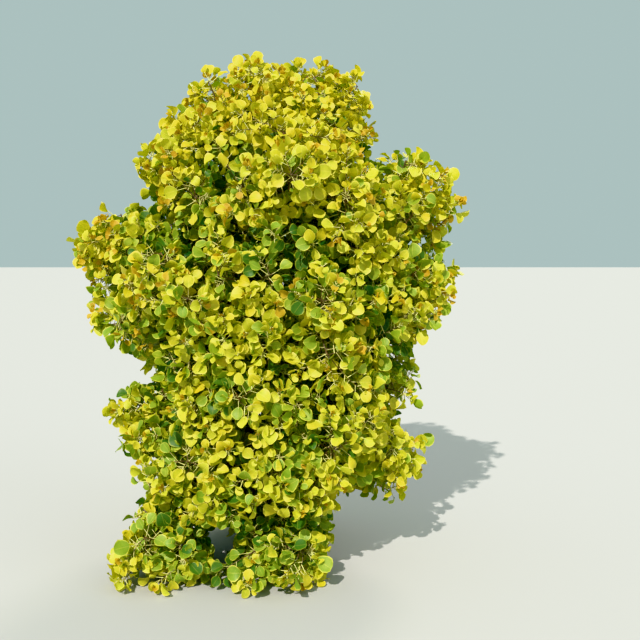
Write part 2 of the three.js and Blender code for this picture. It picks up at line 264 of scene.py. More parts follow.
stretchCount = 12
stretches = np.concatenate(
    [
        np.stack([ends[:-1], ends[1:]], 1)
        for ends in (
            curvePoint(bough["curve"], np.linspace(0, 1, stretchCount + 1))
            for bough in boughs.values()
        )
    ]
)
stretchRadius = np.concatenate(
    [radiusAt(bough, np.arange(stretchCount) / stretchCount) for bough in boughs.values()]
)


# Whether all points lie further from every bough than its radius and a clearance. A bough is
# a row of straight stretches, and the nearest point of each is at a share of it from 0 to 1.
def clearOfLimbs(points, clearance):
    way = stretches[:, 1] - stretches[:, 0]
    offset = points[:, None] - stretches[:, 0]
    share = (np.sum(offset * way, -1) / np.sum(way * way, -1)).clip(0, 1)
    distance = np.linalg.norm(offset - share[..., None] * way, axis=-1)
    return bool((distance > stretchRadius + clearance).all())


# Whether all points are above ground, within their mass and well outside every other mass. The
# depth in a mass is the offset from its middle, each part divided by its reach, as a length.
def inOwnSpace(points, mass, clearance):
    depth = np.linalg.norm((points[:, None] - middles) / reaches, axis=-1)
    own = depth[:, mass]
    others = np.delete(depth, mass, 1).min(1)
    return bool(((points[:, 2] > groundGap) & (own <= 1) & (others > own + clearance)).all())


# Whether straight lines pass through a leaf, or one line through several leaves: its ends are
# on both sides of the leaf's plane, and its point on the plane is inside the leaf's outline
def cuts(start, end, corners):
    root = corners[..., 0, :]
    along = (corners[..., 2, :] + corners[..., 3, :]) / 2 - root
    across = corners[..., 1, :] - corners[..., 4, :]
    facing = np.cross(across, along)
    near = np.sum((start - root) * facing, -1)
    past = np.sum((end - root) * facing, -1)
    through = near * past < 0
    share = near / np.where(through, near - past, 1)
    point = start + (end - start) * share[..., None] - root
    side = np.abs(np.sum(point * across, -1)) / np.sum(across * across, -1)
    far = np.sum(point * along, -1) / np.sum(along * along, -1)
    rising = np.minimum(siteEdge["rise"] * far, siteEdge["widest"])
    edge = siteEdge["margin"] + np.minimum(rising, siteEdge["fallFrom"] - siteEdge["fall"] * far)
    return through & (far < siteEdge["tip"]) & (side < edge)


# Whether a leaf's rim passes through any other leaf, or the rim of one through it
def crosses(corners, others):
    if not others:
        return False
    others = np.array(others)
    rim, past = [0, 1, 2, 3, 4], [1, 2, 3, 4, 0]
    ours = cuts(corners[rim], corners[past], others[:, None])
    theirs = cuts(others[:, rim], others[:, past], corners)
    return bool(ours.any() or theirs.any())


# Which way the light comes from at a point of a mass: out from a point on the inner side of
# its middle, and a little flatter than that
def lightAt(point, mass):
    inwards = unit(coreUnder(middles[mass]) - middles[mass]) * reaches[mass]
    return unit((point - middles[mass] - site["outlook"] * inwards) * [1, 1, site["skylight"]])


# A source leaf's rim and middle: shares of its width across and of its length along, from its
# root, the middle raised by its rise
def siteCorners(root, along, facing, size):
    across = np.cross(along, facing)
    shares = np.array([*siteRim, siteMiddle])
    heights = np.array([0, 0, 0, 0, 0, site["rise"]])[:, None]
    side = shares[:, :1] * site["width"] * size * across
    return root + side + shares[:, 1:] * site["length"] * size * along + heights * facing


# The first free place of a source leaf on its twig. Each try turns it, shortens it and lowers
# it a little, until it is in its own space, clear of limbs and twigs and of the leaves so far.
def leafSite(grown, order, mass, twigs, taken):
    share = site["highest"] - site["whorl"] * order / (site["perTwig"] - 1)
    root = grown["root"] + (grown["end"] - grown["root"]) * share
    tangent = unit(grown["end"] - grown["root"])
    first, second = sideways(tangent, grown["side"])
    light = lightAt(root, mass)
    for attempt in range(site["tries"]):
        face = order % grown["fan"] + attempt // 3
        wobble = site["wobble"] * (chance(mass, grown["branch"], order) - 0.5)
        wobble += site["tryTurn"] * ((attempt + 1) % 3 - 1)
        turn = math.pi / 6 + face * 2 * math.pi / 3 + wobble
        size = 1 + site["sizeSpread"] * (chance(mass, grown["branch"], order + 9) - 0.5)
        size -= site["trySmaller"] * attempt
        lean = (site["forward"] if order else site["tipForward"]) - site["tryLower"] * attempt
        spoke = first * math.cos(turn) + second * math.sin(turn)
        along = unit(spoke - site["lieFlat"] * dot(spoke, light) * light + tangent * lean)
        facing = sideways(along, light)[0]
        corners = siteCorners(root - site["sunk"] * along, along, facing, size)
        rim = corners[:5]
        between = (rim + np.roll(rim, -1, 0)) / 2
        probes = np.concatenate([corners, between, (rim + corners[5]) / 2])
        if (
            inOwnSpace(probes, mass, site["massClearance"])
            and clearOfLimbs(probes, site["limbClearance"])
            and not any(
                cuts(other["root"], other["end"], corners)
                for other in twigs
                if other is not grown
            )
            and not crosses(corners, taken)
        ):
            taken.append(corners)
            return {"root": root, "along": along, "facing": facing, "size": size}
    return None


# The twigs of a mass: they fork from its stem and point evenly out, a golden turn apart and at
# even levels along the way outwards, each as far as its space
def twigsOf(mass, stemStart):
    middle = middles[mass]
    outwards = unit(middle - coreUnder(middle))
    reference = np.array([1.0, 0, 0]) if abs(outwards[2]) > 0.8 else up
    first, second = sideways(outwards, reference)
    grown = []
    for branch in range(twig["perMass"]):
        level = 1 - twig["spread"] * (branch + 0.5) / twig["perMass"]
        turn = branch * goldenTurn + mass
        ring = math.sqrt(1 - level * level)
        aim = outwards * level + first * ring * math.cos(turn) + second * ring * math.sin(turn)
        fork = 1 - twig["forks"] * branch / twig["perMass"]
        root = stemStart + (middle - stemStart) * fork
        reach = twig["reach"]
        while reach > twig["shortest"]:
            end = middle + aim * reaches[mass] * reach
            shares = np.array(twig["probes"])[:, None]
            probes = root + (end - root) * shares
            free = inOwnSpace(probes, mass, 2 * site["massClearance"])
            if free and clearOfLimbs(probes, twig["clearance"]):
                tangent = unit(end - root)
                light = lightAt(root + (end - root) * twig["litShare"], mass)
                lit = light - tangent * dot(light, tangent)
                grown.append(
                    {
                        "root": root,
                        "end": end,
                        "side": np.cross(tangent, lit),
                        "branch": branch,
                        "fan": 2 if np.linalg.norm(lit) > twig["sidelong"] else 3,
                        "mass": mass,
                    }
                )
                break
            reach -= twig["shorter"]
    return grown


twigs, sites, massStems = [], [], []
for mass, name in enumerate(names):
    curve = boughs[name]["curve"]
    stemStart = curvePoint(curve, 1) + twig["gap"] * curveTangent(curve, 1)
    massStems.append((curvePoint(curve, 1), middles[mass]))
    grownHere, taken = twigsOf(mass, stemStart), []
    for number, grown in enumerate(grownHere, len(twigs)):
        for order in range(site["perTwig"]):
            found = leafSite(grown, order, mass, grownHere, taken)
            if found:
                found.update(mass=mass, twig=number, tangent=unit(grown["end"] - grown["root"]))
                sites.append(found)
    twigs += grownHere
print("growth rule:", len(boughs), "boughs,", len(twigs), "twigs,", len(sites), "sprays")


# The triangles between the rings of a tube and, on a capped one, from its end rings to the two
# points that follow its rings in the list
def tubeFaces(rings, sides, capped=True):
    ring, side = np.meshgrid(np.arange(rings - 1), np.arange(sides), indexing="ij")
    a = ring * sides + side
    b = ring * sides + (side + 1) % sides
    between = np.stack([a, b, b + sides, a, b + sides, a + sides], -1).reshape(-1, 3)
    if not capped:
        return between
    around = np.arange(sides)
    low, high = rings * sides, rings * sides + 1
    last = (rings - 1) * sides
    start = np.stack([(around + 1) % sides, around, np.full(sides, low)], -1)
    end = np.stack([last + around, last + (around + 1) % sides, np.full(sides, high)], -1)
    return np.concatenate([between, start, end])


# The angles round a ring, one for each side
def ringAngles(sides):
    return np.arange(sides) * 2 * np.pi / sides


# Tubes along rows of points: a ring's points stand off its centre by the radius, and by the
# relief where there is one, times the cosine and the sine of their angles along two directions
# square to the row. centres is (tubes, rings, 3), radii is (tubes, rings).
def tubes(centres, radii, sides, reference, relief=0, capped=True):
    count, rings = centres.shape[:2]
    ahead = unit(np.gradient(centres, axis=1))
    first = unit(reference[:, None] - ahead * dot(reference[:, None], ahead))
    second = np.cross(ahead, first)
    angle = ringAngles(sides)[:, None]
    radii = np.repeat(radii[..., None], sides, 2) + relief
    spokes = first[:, :, None] * np.cos(angle) + second[:, :, None] * np.sin(angle)
    points = (centres[:, :, None] + spokes * radii[..., None]).reshape(count, -1, 3)
    if capped:
        points = np.concatenate([points, centres[:, :1], centres[:, -1:]], 1)
    return points, tubeFaces(rings, sides, capped)


# Joins groups, each of equal shapes that share one list of faces, into one list of points and
# one of faces: a shape's faces are shifted by the number of points before it
def joined(groups):
    points, faces, offset = [], [], 0
    for group, triangles in groups:
        count, size = group.shape[:2]
        points.append(group.reshape(-1, 3))
        shift = np.arange(count)[:, None, None] * size + offset
        faces.append((triangles[None] + shift).reshape(-1, 3))
        offset += count * size
    return np.concatenate(points), np.concatenate(faces)


# One piece of the bush, from its points and triangles, in place of the solids that it stands
# for. spots are its points' places in the map of its finish.
def piece(name, points, faces, finish, slotName, nodes, spots=None):
    mesh = bpy.data.meshes.new(name)
    mesh.vertices.add(len(points))
    mesh.vertices.foreach_set("co", points.astype(np.float32).ravel())
    mesh.loops.add(faces.size)
    mesh.loops.foreach_set("vertex_index", faces.astype(np.int32).ravel())
    mesh.polygons.add(len(faces))
    mesh.polygons.foreach_set("loop_start", np.arange(0, faces.size, 3, dtype=np.int32))
    if spots is not None:
        layer = mesh.uv_layers.new(name="OFBake")
        layer.uv.foreach_set("vector", spots[faces.ravel()].astype(np.float32).ravel())
    mesh.update(calc_edges=True)
    mesh.validate()
    mesh.shade_smooth()
    mesh.materials.append(finish)
    made = bpy.data.objects.new(name, mesh)
    bpy.context.scene.collection.objects.link(made)
    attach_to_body(made, "root")
    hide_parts(*nodes)
    print(f"{name}: {len(faces)} triangles")
    return made


# A socket. An expression on wires and numbers adds its Math nodes.
class Wire:
    def __init__(self, finish, socket):
        self.finish, self.socket = finish, socket

    def math(self, operation, *values):
        return self.finish.node("ShaderNodeMath", {"operation": operation}, dict(enumerate(values)))

    def __add__(self, other):
        return self.math("ADD", self, other)

    def __radd__(self, other):
        return self.math("ADD", other, self)

    def __sub__(self, other):
        return self.math("SUBTRACT", self, other)

    def __rsub__(self, other):
        return self.math("SUBTRACT", other, self)

    def __mul__(self, other):
        return self.math("MULTIPLY", self, other)

    def __rmul__(self, other):
        return self.math("MULTIPLY", other, self)

    def __truediv__(self, other):
        return self.math("DIVIDE", self, other)

    # The number without its sign
    def size(self):
        return self.math("ABSOLUTE", self)

    # The larger of two
    def most(self, other):
        return self.math("MAXIMUM", self, other)

    # Its sine
    def wave(self):
        return self.math("SINE", self)

    # 0 below the first number and 1 above the second, smooth between them
    def between(self, low, high):
        values = {"Value": self, "From Min": low, "From Max": high}
        return self.finish.node("ShaderNodeMapRange", {"interpolation_type": "SMOOTHSTEP"}, values)


# A material in the making
class Finish:
    def __init__(self, name):
        self.material = bpy.data.materials.new(name)
        self.material.use_nodes = True
        self.tree = self.material.node_tree
        self.tree.nodes.clear()

    # One node: its settings are set first, then the values or links of its sockets
    def node(self, kind, settings=None, values=None, out=0):
        made = self.tree.nodes.new(kind)
        for key, value in (settings or {}).items():
            setattr(made, key, value)
        for key, value in (values or {}).items():
            if isinstance(value, Wire):
                self.tree.links.new(value.socket, made.inputs[key])
            else:
                made.inputs[key].default_value = value
        return Wire(self, made.outputs[out]) if made.outputs else None

    # The first colour where the factor is 0 and the second where it is 1
    def blend(self, factor, first, second):
        colours = [c if isinstance(c, Wire) else (*c, 1) for c in (first, second)]
        values = {0: factor, 6: colours[0], 7: colours[1]}
        return self.node("ShaderNodeMix", {"data_type": "RGBA"}, values, out=2)

    # The three parts of a vector
    def parts(self, vector):
        split = self.node("ShaderNodeSeparateXYZ", None, {0: vector})
        return [Wire(self, split.socket.node.outputs[i]) for i in range(3)]

    def done(self, shader):
        self.node("ShaderNodeOutputMaterial", None, {"Surface": shader})
        return self.material


barkLooks = {
    "bark": {
        "dark": (0.045, 0.032, 0.022),
        "pale": (0.2, 0.15, 0.105),
        "scale": 95,  # of the furrows, to a metre
        "roughness": 0.9,
    },
    "twig_bark": {
        "dark": (0.075, 0.045, 0.022),
        "pale": (0.2, 0.13, 0.06),
        "scale": 160,
        "roughness": 0.75,
    },
}
barkPattern = {
    "stretch": (1, 1, 0.28),  # the furrows run up the limb
    "furrow": (0.34, 0.66),  # where a mark starts to show and where it is full
    "patch": (0.4, 0.65),
    "patchColour": (0.23, 0.22, 0.17),
    "patchShare": 0.45,
    "patchSize": 9,  # times the furrows' width
    "bump": 0.7,
    "bumpDepth": 0.003,
    "specular": 0.25,
}


# Bark: grey-brown, mottled, with fine furrows that run up the limb. Stretched noise blends the
# dark tone with the pale one and raises the bump, and a coarse noise adds grey patches.
def barkFinish(name, dark, pale, scale, roughness):
    f = Finish(name)
    place = f.node("ShaderNodeTexCoord", out=3)
    drawn = f.node("ShaderNodeMapping", None, {"Vector": place, "Scale": barkPattern["stretch"]})
    grain = {"Vector": drawn, "Scale": scale, "Detail": 5, "Roughness": 0.65}
    furrow = f.node("ShaderNodeTexNoise", None, grain)
    coarse = {"Vector": place, "Scale": scale / barkPattern["patchSize"], "Detail": 2}
    patch = f.node("ShaderNodeTexNoise", None, coarse)
    tone = f.blend(furrow.between(*barkPattern["furrow"]), dark, pale)
    grey = barkPattern["patchShare"] * patch.between(*barkPattern["patch"])
    tone = f.blend(grey, tone, barkPattern["patchColour"])
    rise = {"Strength": barkPattern["bump"], "Distance": barkPattern["bumpDepth"], "Height": furrow}
    surface = {
        "Base Color": tone,
        "Roughness": roughness,
        "Normal": f.node("ShaderNodeBump", None, rise),
        "Specular IOR Level": barkPattern["specular"],
    }
    return f.done(f.node("ShaderNodeBsdfPrincipled", None, surface))


# The leaves' map has squares, and each leaf wears the pattern of one of them, in its own tint.
# A square runs from the stalk up to the tip and from rim to rim, with a little room round it.
leafMap = {"squares": 4, "across": 2.2, "low": 0.04, "tall": 0.92}
leafPattern = {  # a pair is where a mark starts to show and where it is full
    "midrib": (0.015, 0.06),
    "veinRate": 8.5,
    "veinSlant": 2.6,
    "vein": (0.03, 0.3),
    "veinEnd": (0.7, 0.95),
    "side": (0.78, 0.97),
    "tip": (0.89, 0.99),
    "root": (0.01, 0.06),
    "foot": (0, 0.6),
    "mottle": (0.45, 0.7),
    "mottleScale": 3.1,
    "footShare": 0.35,
    "mottleShare": 0.3,
    "veinShare": 0.16,
    "midribShare": 0.4,
    "rimAndGlowShare": 0.85,
    "veinDepth": 0.5,
    "bump": 0.35,
    "bumpDepth": 0.001,
    "dull": 0.12,
    "specular": 0.35,
}
leafLooks = {
    # deep and olive are partly painted shade: they go to the most shaded sprays and darken the
    # crown's inside
    "deep": {
        "body": (0.03, 0.1, 0.022),
        "other": (0.02, 0.09, 0.022),
        "green": (0.016, 0.065, 0.017),
        "rim": (0.17, 0.27, 0.05),
        "through": (0.04, 0.18, 0.014),  # the light that comes through the blade
        "glow": 0.18,  # and its share
        "roughness": 0.42,
    },
    "olive": {
        "body": (0.076, 0.162, 0.022),
        "other": (0.045, 0.144, 0.024),
        "green": (0.033, 0.11, 0.018),
        "rim": (0.42, 0.45, 0.07),
        "through": (0.09, 0.29, 0.016),
        "glow": 0.2,
        "roughness": 0.42,
    },
    "lime": {
        "body": (0.365, 0.43, 0.052),
        "other": (0.236, 0.362, 0.048),
        "green": (0.142, 0.256, 0.032),
        "rim": (0.78, 0.71, 0.13),
        "through": (0.25, 0.48, 0.018),
        "glow": 0.22,
        "roughness": 0.42,
    },
    "gold": {
        "body": (0.73, 0.615, 0.062),
        "other": (0.61, 0.605, 0.064),
        "green": (0.36, 0.455, 0.048),
        "rim": (0.92, 0.78, 0.18),
        "through": (0.44, 0.57, 0.018),
        "glow": 0.24,
        "roughness": 0.42,
    },
    "amber": {
        "body": (0.74, 0.58, 0.046),
        "other": (0.64, 0.57, 0.048),
        "green": (0.38, 0.445, 0.04),
        "rim": (0.94, 0.77, 0.15),
        "through": (0.48, 0.55, 0.016),
        "glow": 0.24,
        "roughness": 0.42,
    },
    "bronze": {
        "body": (0.52, 0.3, 0.03),
        "other": (0.6, 0.42, 0.04),
        "green": (0.34, 0.24, 0.03),
        "rim": (0.8, 0.62, 0.12),
        "through": (0.6, 0.36, 0.02),
        "glow": 0.22,
        "roughness": 0.5,
    },
}


# A leaf blade. Across and far are the distances from the midrib and from the stalk, as shares.
# The midrib is a band at across 0, the side veins are a sine of far less across, and both are
# paler. The rim is yellower, partly the leaf's own margin and partly a painted highlight of light
# glowing at its edge. The foot is greener, and each square has its own tint.
def leafFinish(name, body, other, green, rim, through, glow, roughness):
    f, p = Finish(name), leafPattern
    spot = f.node("ShaderNodeUVMap", {"uv_map": "OFBake"})
    squares = {0: spot, "Scale": leafMap["squares"]}
    grid = f.node("ShaderNodeVectorMath", {"operation": "SCALE"}, squares)
    whole = f.node("ShaderNodeVectorMath", {"operation": "FLOOR"}, {0: grid})
    inside = f.node("ShaderNodeVectorMath", {"operation": "SUBTRACT"}, {0: grid, 1: whole})
    s, t, _ = f.parts(inside)
    across = ((s - 0.5) * leafMap["across"]).size()
    far = (t - leafMap["low"]) / leafMap["tall"]
    midrib = 1 - across.between(*p["midrib"])
    slant = far * p["veinRate"] - across * p["veinSlant"]
    veins = (slant * math.pi).wave().size().between(*p["vein"]) * -1 + 1
    veins = veins * (1 - across.between(*p["veinEnd"]))
    edge = across.between(*p["side"]).most(far.between(*p["tip"]))
    edge = edge.most(1 - far.between(*p["root"]))
    tint = f.node("ShaderNodeTexWhiteNoise", {"noise_dimensions": "2D"}, {"Vector": whole})
    speckle = {"Vector": grid, "Scale": p["mottleScale"], "Detail": 3}
    mottle = f.node("ShaderNodeTexNoise", {"noise_dimensions": "2D"}, speckle)
    foot = (1 - far.between(*p["foot"])) * p["footShare"]
    foot = foot + mottle.between(*p["mottle"]) * p["mottleShare"]
    tone = f.blend(tint, body, other)
    tone = f.blend(foot, tone, green)
    tone = f.blend(p["veinShare"] * veins, tone, rim)
    # The pale rim is partly the leaf's own margin and partly a painted highlight, the glow of light
    # at its edge
    tone = f.blend((p["midribShare"] * midrib).most(p["rimAndGlowShare"] * edge), tone, rim)
    height = 0.5 - p["veinDepth"] * veins - midrib
    rise = {"Strength": p["bump"], "Distance": p["bumpDepth"], "Height": height}
    surface = {
        "Base Color": tone,
        "Roughness": roughness + p["dull"] * mottle,
        "Normal": f.node("ShaderNodeBump", None, rise),
        "Specular IOR Level": p["specular"],
    }
    blade = f.node("ShaderNodeBsdfPrincipled", None, surface)
    lit = f.node("ShaderNodeBsdfTranslucent", None, {"Color": (*through, 1)})
    return f.done(f.node("ShaderNodeMixShader", None, {0: glow, 1: blade, 2: lit}))


stalkLook = {
    "first": (0.82, 0.82, 0.32),
    "second": (0.66, 0.58, 0.24),
    "patch": (0.35, 0.65),
    "scale": 40,
    "roughness": 0.5,
}


# A leaf stalk: coarse noise blends one tone with the other
def stalkFinish(name):
    f = Finish(name)
    place = f.node("ShaderNodeTexCoord", out=3)
    coarse = {"Vector": place, "Scale": stalkLook["scale"], "Detail": 2}
    patch = f.node("ShaderNodeTexNoise", None, coarse)
    tone = f.blend(patch.between(*stalkLook["patch"]), stalkLook["first"], stalkLook["second"])
    surface = {"Base Color": tone, "Roughness": stalkLook["roughness"]}
    return f.done(f.node("ShaderNodeBsdfPrincipled", None, surface))


bark, twigBark = (barkFinish(name, **look) for name, look in barkLooks.items())
stalk = stalkFinish("leaf_stalk")
leafKinds = {kind: leafFinish(f"leaf_{kind}", **look) for kind, look in leafLooks.items()}
print("finishes made:", 3 + len(leafKinds))

foliageNodes = [f"foliage_{name}" for name in names]
limbNodes = ["stem", *(f"bough_{name}" for name in names)]

# The limbs: the stem with its root flare, and the boughs, with the bark's relief
barkDepth = {"ridges": 0.0011, "knots": 0.0016, "stemRidges": 0.0035}
boughShape = {
    "ringGap": 0.016,
    "mainSides": 16,
    "sides": 12,
    "collar": 0.4,  # how much thicker a side bough is where it leaves its limb
    "collarLength": 0.03,
    "sway": 0.006,
    "swayTurns": (19, 15),
}
stemShape = {"sides": 60, "rings": 34, "reliefFrom": 0.02, "top": 1.05}


# Bark relief over an angle and a distance: two sets of ridges, each a sine of the angle that
# wanders with the distance, and knots, where a high power of two waves' product stands out
def barkRelief(angle, distance, phase, ridges):
    turn = angle + 0.5 * np.sin(distance * 21 + phase) + 0.25 * np.sin(distance * 57 + 2 * phase)
    fine = np.sin(5 * turn + phase) + 0.7 * np.sin(9 * turn - 31 * distance + 2.3 * phase)
    knots = np.maximum(0, np.sin(distance * 63 + phase) * np.cos(angle - distance * 40)) ** 6
    return ridges * fine * 0.6 + barkDepth["knots"] * knots * (ridges > 0)


# A bough: a tube along its curve that sways a little, in two waves across it, with a collar
# that falls as a power of e with the distance
def boughTube(number, bough):
    sides = boughShape["mainSides" if bough["main"] else "sides"]
    share = np.linspace(0, 1, int(bough["length"] / boughShape["ringGap"]) + 2)
    distance = share * bough["length"]
    collar = boughShape["collar"] * np.exp(-distance / boughShape["collarLength"])
    radii = radiusAt(bough, share) * (1 + (0 if bough["main"] else collar))
    ridges = barkDepth["ridges"] * (radii / limb["mainRadius"]) ** 0.5
    relief = barkRelief(ringAngles(sides)[None], distance[:, None], number * 1.7, ridges[:, None])
    centres = curvePoint(bough["curve"], share)
    first, second = sideways(curveTangent(bough["curve"], share), bough["reference"])
    sway = np.sin(share * np.pi) * boughShape["sway"]
    turns = boughShape["swayTurns"]
    centres = centres + first * (sway * np.sin(share * turns[0] + number))[:, None]
    centres = centres + second * (sway * np.cos(share * turns[1] + 2 * number))[:, None]
    return tubes(centres[None], radii[None], sides, bough["reference"][None], relief[None])


# The stem: a profile turned about an axis that leans, swollen low down by its root buttresses,
# a cosine of the angle, and closed by a point under it and one on top
def stemShell():
    profile = np.array(
        [
            (stem["footRadius"], 0),
            (stem["footRadius"] * 0.88, stem["height"] * 0.1),
            (stem["neckRadius"] * 1.2, stem["height"] * 0.32),
            (stem["neckRadius"], stem["height"] * 0.62),
            (stem["neckRadius"] * 0.86, stem["height"] * 0.86),
            (stem["neckRadius"] * 0.45, stem["height"]),
        ]
    )
    sides, rings = stemShape["sides"], stemShape["rings"]
    height = np.linspace(0, stem["height"], rings)[:, None]
    angle = ringAngles(sides)[None]
    radius = np.interp(height, profile[:, 1], profile[:, 0])
    low = np.maximum(0, 1 - height / stem["flareHeight"]) ** 2
    swell = 1 + stem["flareDepth"] * low * np.cos(stem["buttresses"] * angle)
    ridged = barkRelief(2 * angle, height * 0.6, 0.4, np.array(barkDepth["stemRidges"]))
    radius = radius * swell + ridged * np.minimum(1, height / stemShape["reliefFrom"])
    x = radius * np.cos(angle) + stem["lean"] * height
    shell = np.stack([x, radius * np.sin(angle), np.repeat(height, sides, 1)], -1)
    top = [stem["lean"] * stem["height"], 0, stem["height"] * stemShape["top"]]
    poles = np.array([[[0, 0, 0], top]], float)
    return np.concatenate([shell.reshape(1, -1, 3), poles], 1), tubeFaces(rings, sides)


limbGroups = [boughTube(number, bough) for number, bough in enumerate(boughs.values())]
piece("limbs", *joined([*limbGroups, stemShell()]), bark, "bark", limbNodes)


# The sprays: each is a shoot with a rosette of leaves. Where no note says otherwise, a pair runs
# from the lowest leaf of a shoot to its highest.
spray = {
    "leaves": 14,
    "reach": 0.56,  # of the source leaf's length, to the shoot's tip
    "rise": 0.006,
    "bend": 0.36,  # of the shoot's length, to the curve's first inner point
    "alongTwig": 0.6,
    "tipLength": 0.045,  # from the last inner point to the tip
    "tipShare": 0.4,
    "tipWay": (0.75, 0.35, 0.3),  # a tip points out of the crown, along the shoot and up
    "firstLeaf": 0.3,  # share of the shoot below its lowest leaf
    "crowding": 0.85,
    "stalk": (0.046, 0.014),
    "blade": (0.06, 0.034),
    "bladeCurve": 1.6,
    "splay": (1.25, 0.5),  # angle between the shoot and a leaf stalk
    "outwards": 0.5,
    "look": (0.75, 0.5, 0.9),  # a leaf faces the light, away from its shoot and anywhere
    "tilt": 0.2,  # of the shoot's way, added to where its first side faces
    "turns": (1.3, 0.9, 0.2),  # what a leaf's turn gets by its mass, its shoot and chance
    "splaySpread": 0.12,
    "stalkSpread": 0.15,
    "bladeSpread": (0.2, 0.6, 1.35),  # and the least and the most of the factor
    "fold": (0.12, 0.45, 1.5),  # the least, what chance adds and the power of the chance
    "curl": (0.35, 0.75),  # the mean and the spread
}


# Finer shoots that the source's leaves are too large to stand between. The crown is a smooth
# sum over the masses, each a power of e that falls with the square of the depth, and they
# stand apart within it, those near its surface first.
fill = {
    "grid": 0.045,
    "surface": 3.0,  # the sum at the crown's surface
    "ragged": 0.42,  # how far the surface wanders, as a power of e
    "siteSurface": 1.9,  # the same for the shoots that stand for the source's leaves
    "twigSurface": 1.7,  # and for the twigs' ends
    "siteLeast": 1.0,  # the sum below which the source's leaf is left out
    "fade": 2.5,
    "apart": 0.084,
    "innerApart": 0.125,
    "inner": 7.0,  # the sum beyond which shoots stand further apart
    "most": 60.0,
    "limbClearance": 0.03,
    "boxFade": 14,  # how fast the depth grows behind the sides of the bush's reach
    "lowest": 0.035,
    "margin": (0.075, 0.075, 0.05),  # from a shoot's tip to the reach of the whole bush
    "twigSteps": (8, 0.06),  # how many times twigs are drawn back, by what share each time
    "siteSteps": (12, 0.08),  # and the shoots that stand for the source's leaves
    "pastEnd": 0.012,  # how far past its twig's new end such a shoot may spring
}
fullness = {  # of a mass's reach, where the crown is thinner or fuller than the mass
    "crown_left": (0.86, 1, 0.56),
    "crown_top": (1, 1, 0.99),
    "crown_right": (0.86, 1, 1.04),
    "upper_left": (0.9, 1, 0.8),
    "left_shoulder": (0.98, 1, 0.88),
    "left_middle": (0.96, 1, 0.85),
    "left_low": (0.83, 1, 0.76),
    "right_shoulder": (0.96, 1, 0.96),
    "right_low": (0.87, 1, 0.84),
    "right_middle": (1, 1, 0.88),
    "right_foot": (0.98, 1, 0.82),
    "skirt_left": (0.92, 1, 0.92),
    "skirt_front": (0.72, 1.05, 1.2),
}
cores = [  # what fills the crown between the masses: middles and reaches
    ((0.06, -0.08, 1.15), (0.5, 0.56, 1.0)),
    ((0.05, 0.2, 1.1), (0.42, 0.36, 0.95)),
    ((0.0, -0.3, 0.5), (0.3, 0.35, 0.34)),
    ((0.28, -0.33, 0.84), (0.32, 0.35, 0.18)),
    ((0.5, -0.24, 1.06), (0.24, 0.33, 0.16)),
    ((0.52, -0.05, 1.55), (0.16, 0.22, 0.16)),
    ((0.42, -0.25, 1.56), (0.2, 0.25, 0.12)),
    ((0.08, -0.36, 0.38), (0.26, 0.28, 0.11)),
    ((0.15, -0.4, 0.1), (0.16, 0.25, 0.15)),
    ((-0.39, -0.37, 0.1), (0.22, 0.23, 0.15)),
    ((-0.07, -0.22, 1.91), (0.24, 0.22, 0.19)),
    ((-0.13, -0.27, 1.97), (0.16, 0.17, 0.12)),
    ((0.33, -0.45, 1.62), (0.14, 0.15, 0.08)),
    ((0.4, -0.42, 1.47), (0.17, 0.17, 0.1)),
    ((0.28, -0.36, -0.02), (0.14, 0.2, 0.09)),
    ((-0.05, -0.36, 1.93), (0.17, 0.17, 0.1)),
    ((0.36, -0.48, 1.54), (0.15, 0.14, 0.09)),
    ((-0.04, -0.52, 0.57), (0.12, 0.14, 0.16)),
    ((0.1, -0.46, 0.23), (0.11, 0.15, 0.1)),
    ((-0.02, -0.56, 0.62), (0.11, 0.12, 0.12)),
    ((-0.09, -0.48, 0.07), (0.1, 0.12, 0.07)),
    ((0.07, -0.52, 0.36), (0.1, 0.12, 0.09)),
    ((-0.06, -0.54, 1.36), (0.11, 0.12, 0.08)),
    ((0.61, -0.26, 1.44), (0.14, 0.18, 0.1)),
    ((-0.41, -0.4, 1.18), (0.13, 0.15, 0.1)),
    ((0.16, -0.5, 1.04), (0.12, 0.13, 0.1)),
    ((0.56, -0.28, 1.17), (0.14, 0.2, 0.12)),
    ((0.13, 0, 2.13), (0.2, 0.22, 0.18)),
    ((0.34, -0.4, 1.56), (0.24, 0.22, 0.14)),
    ((0.17, -0.48, 1.61), (0.15, 0.15, 0.07)),
    ((-0.08, -0.5, 0.57), (0.18, 0.22, 0.13)),
    ((-0.05, -0.55, 0.02), (0.16, 0.16, 0.09)),
    ((0.06, -0.5, 0.69), (0.16, 0.18, 0.1)),
    ((0.53, -0.2, 0.63), (0.2, 0.22, 0.13)),
    ((-0.45, -0.2, 1.1), (0.16, 0.22, 0.12)),
    ((0.1, -0.5, 0.38), (0.2, 0.18, 0.1)),
    ((0.36, -0.16, 1.96), (0.18, 0.18, 0.17)),
]
hollowDepth = 2.5  # how strongly a hollow cuts, against the masses and cores
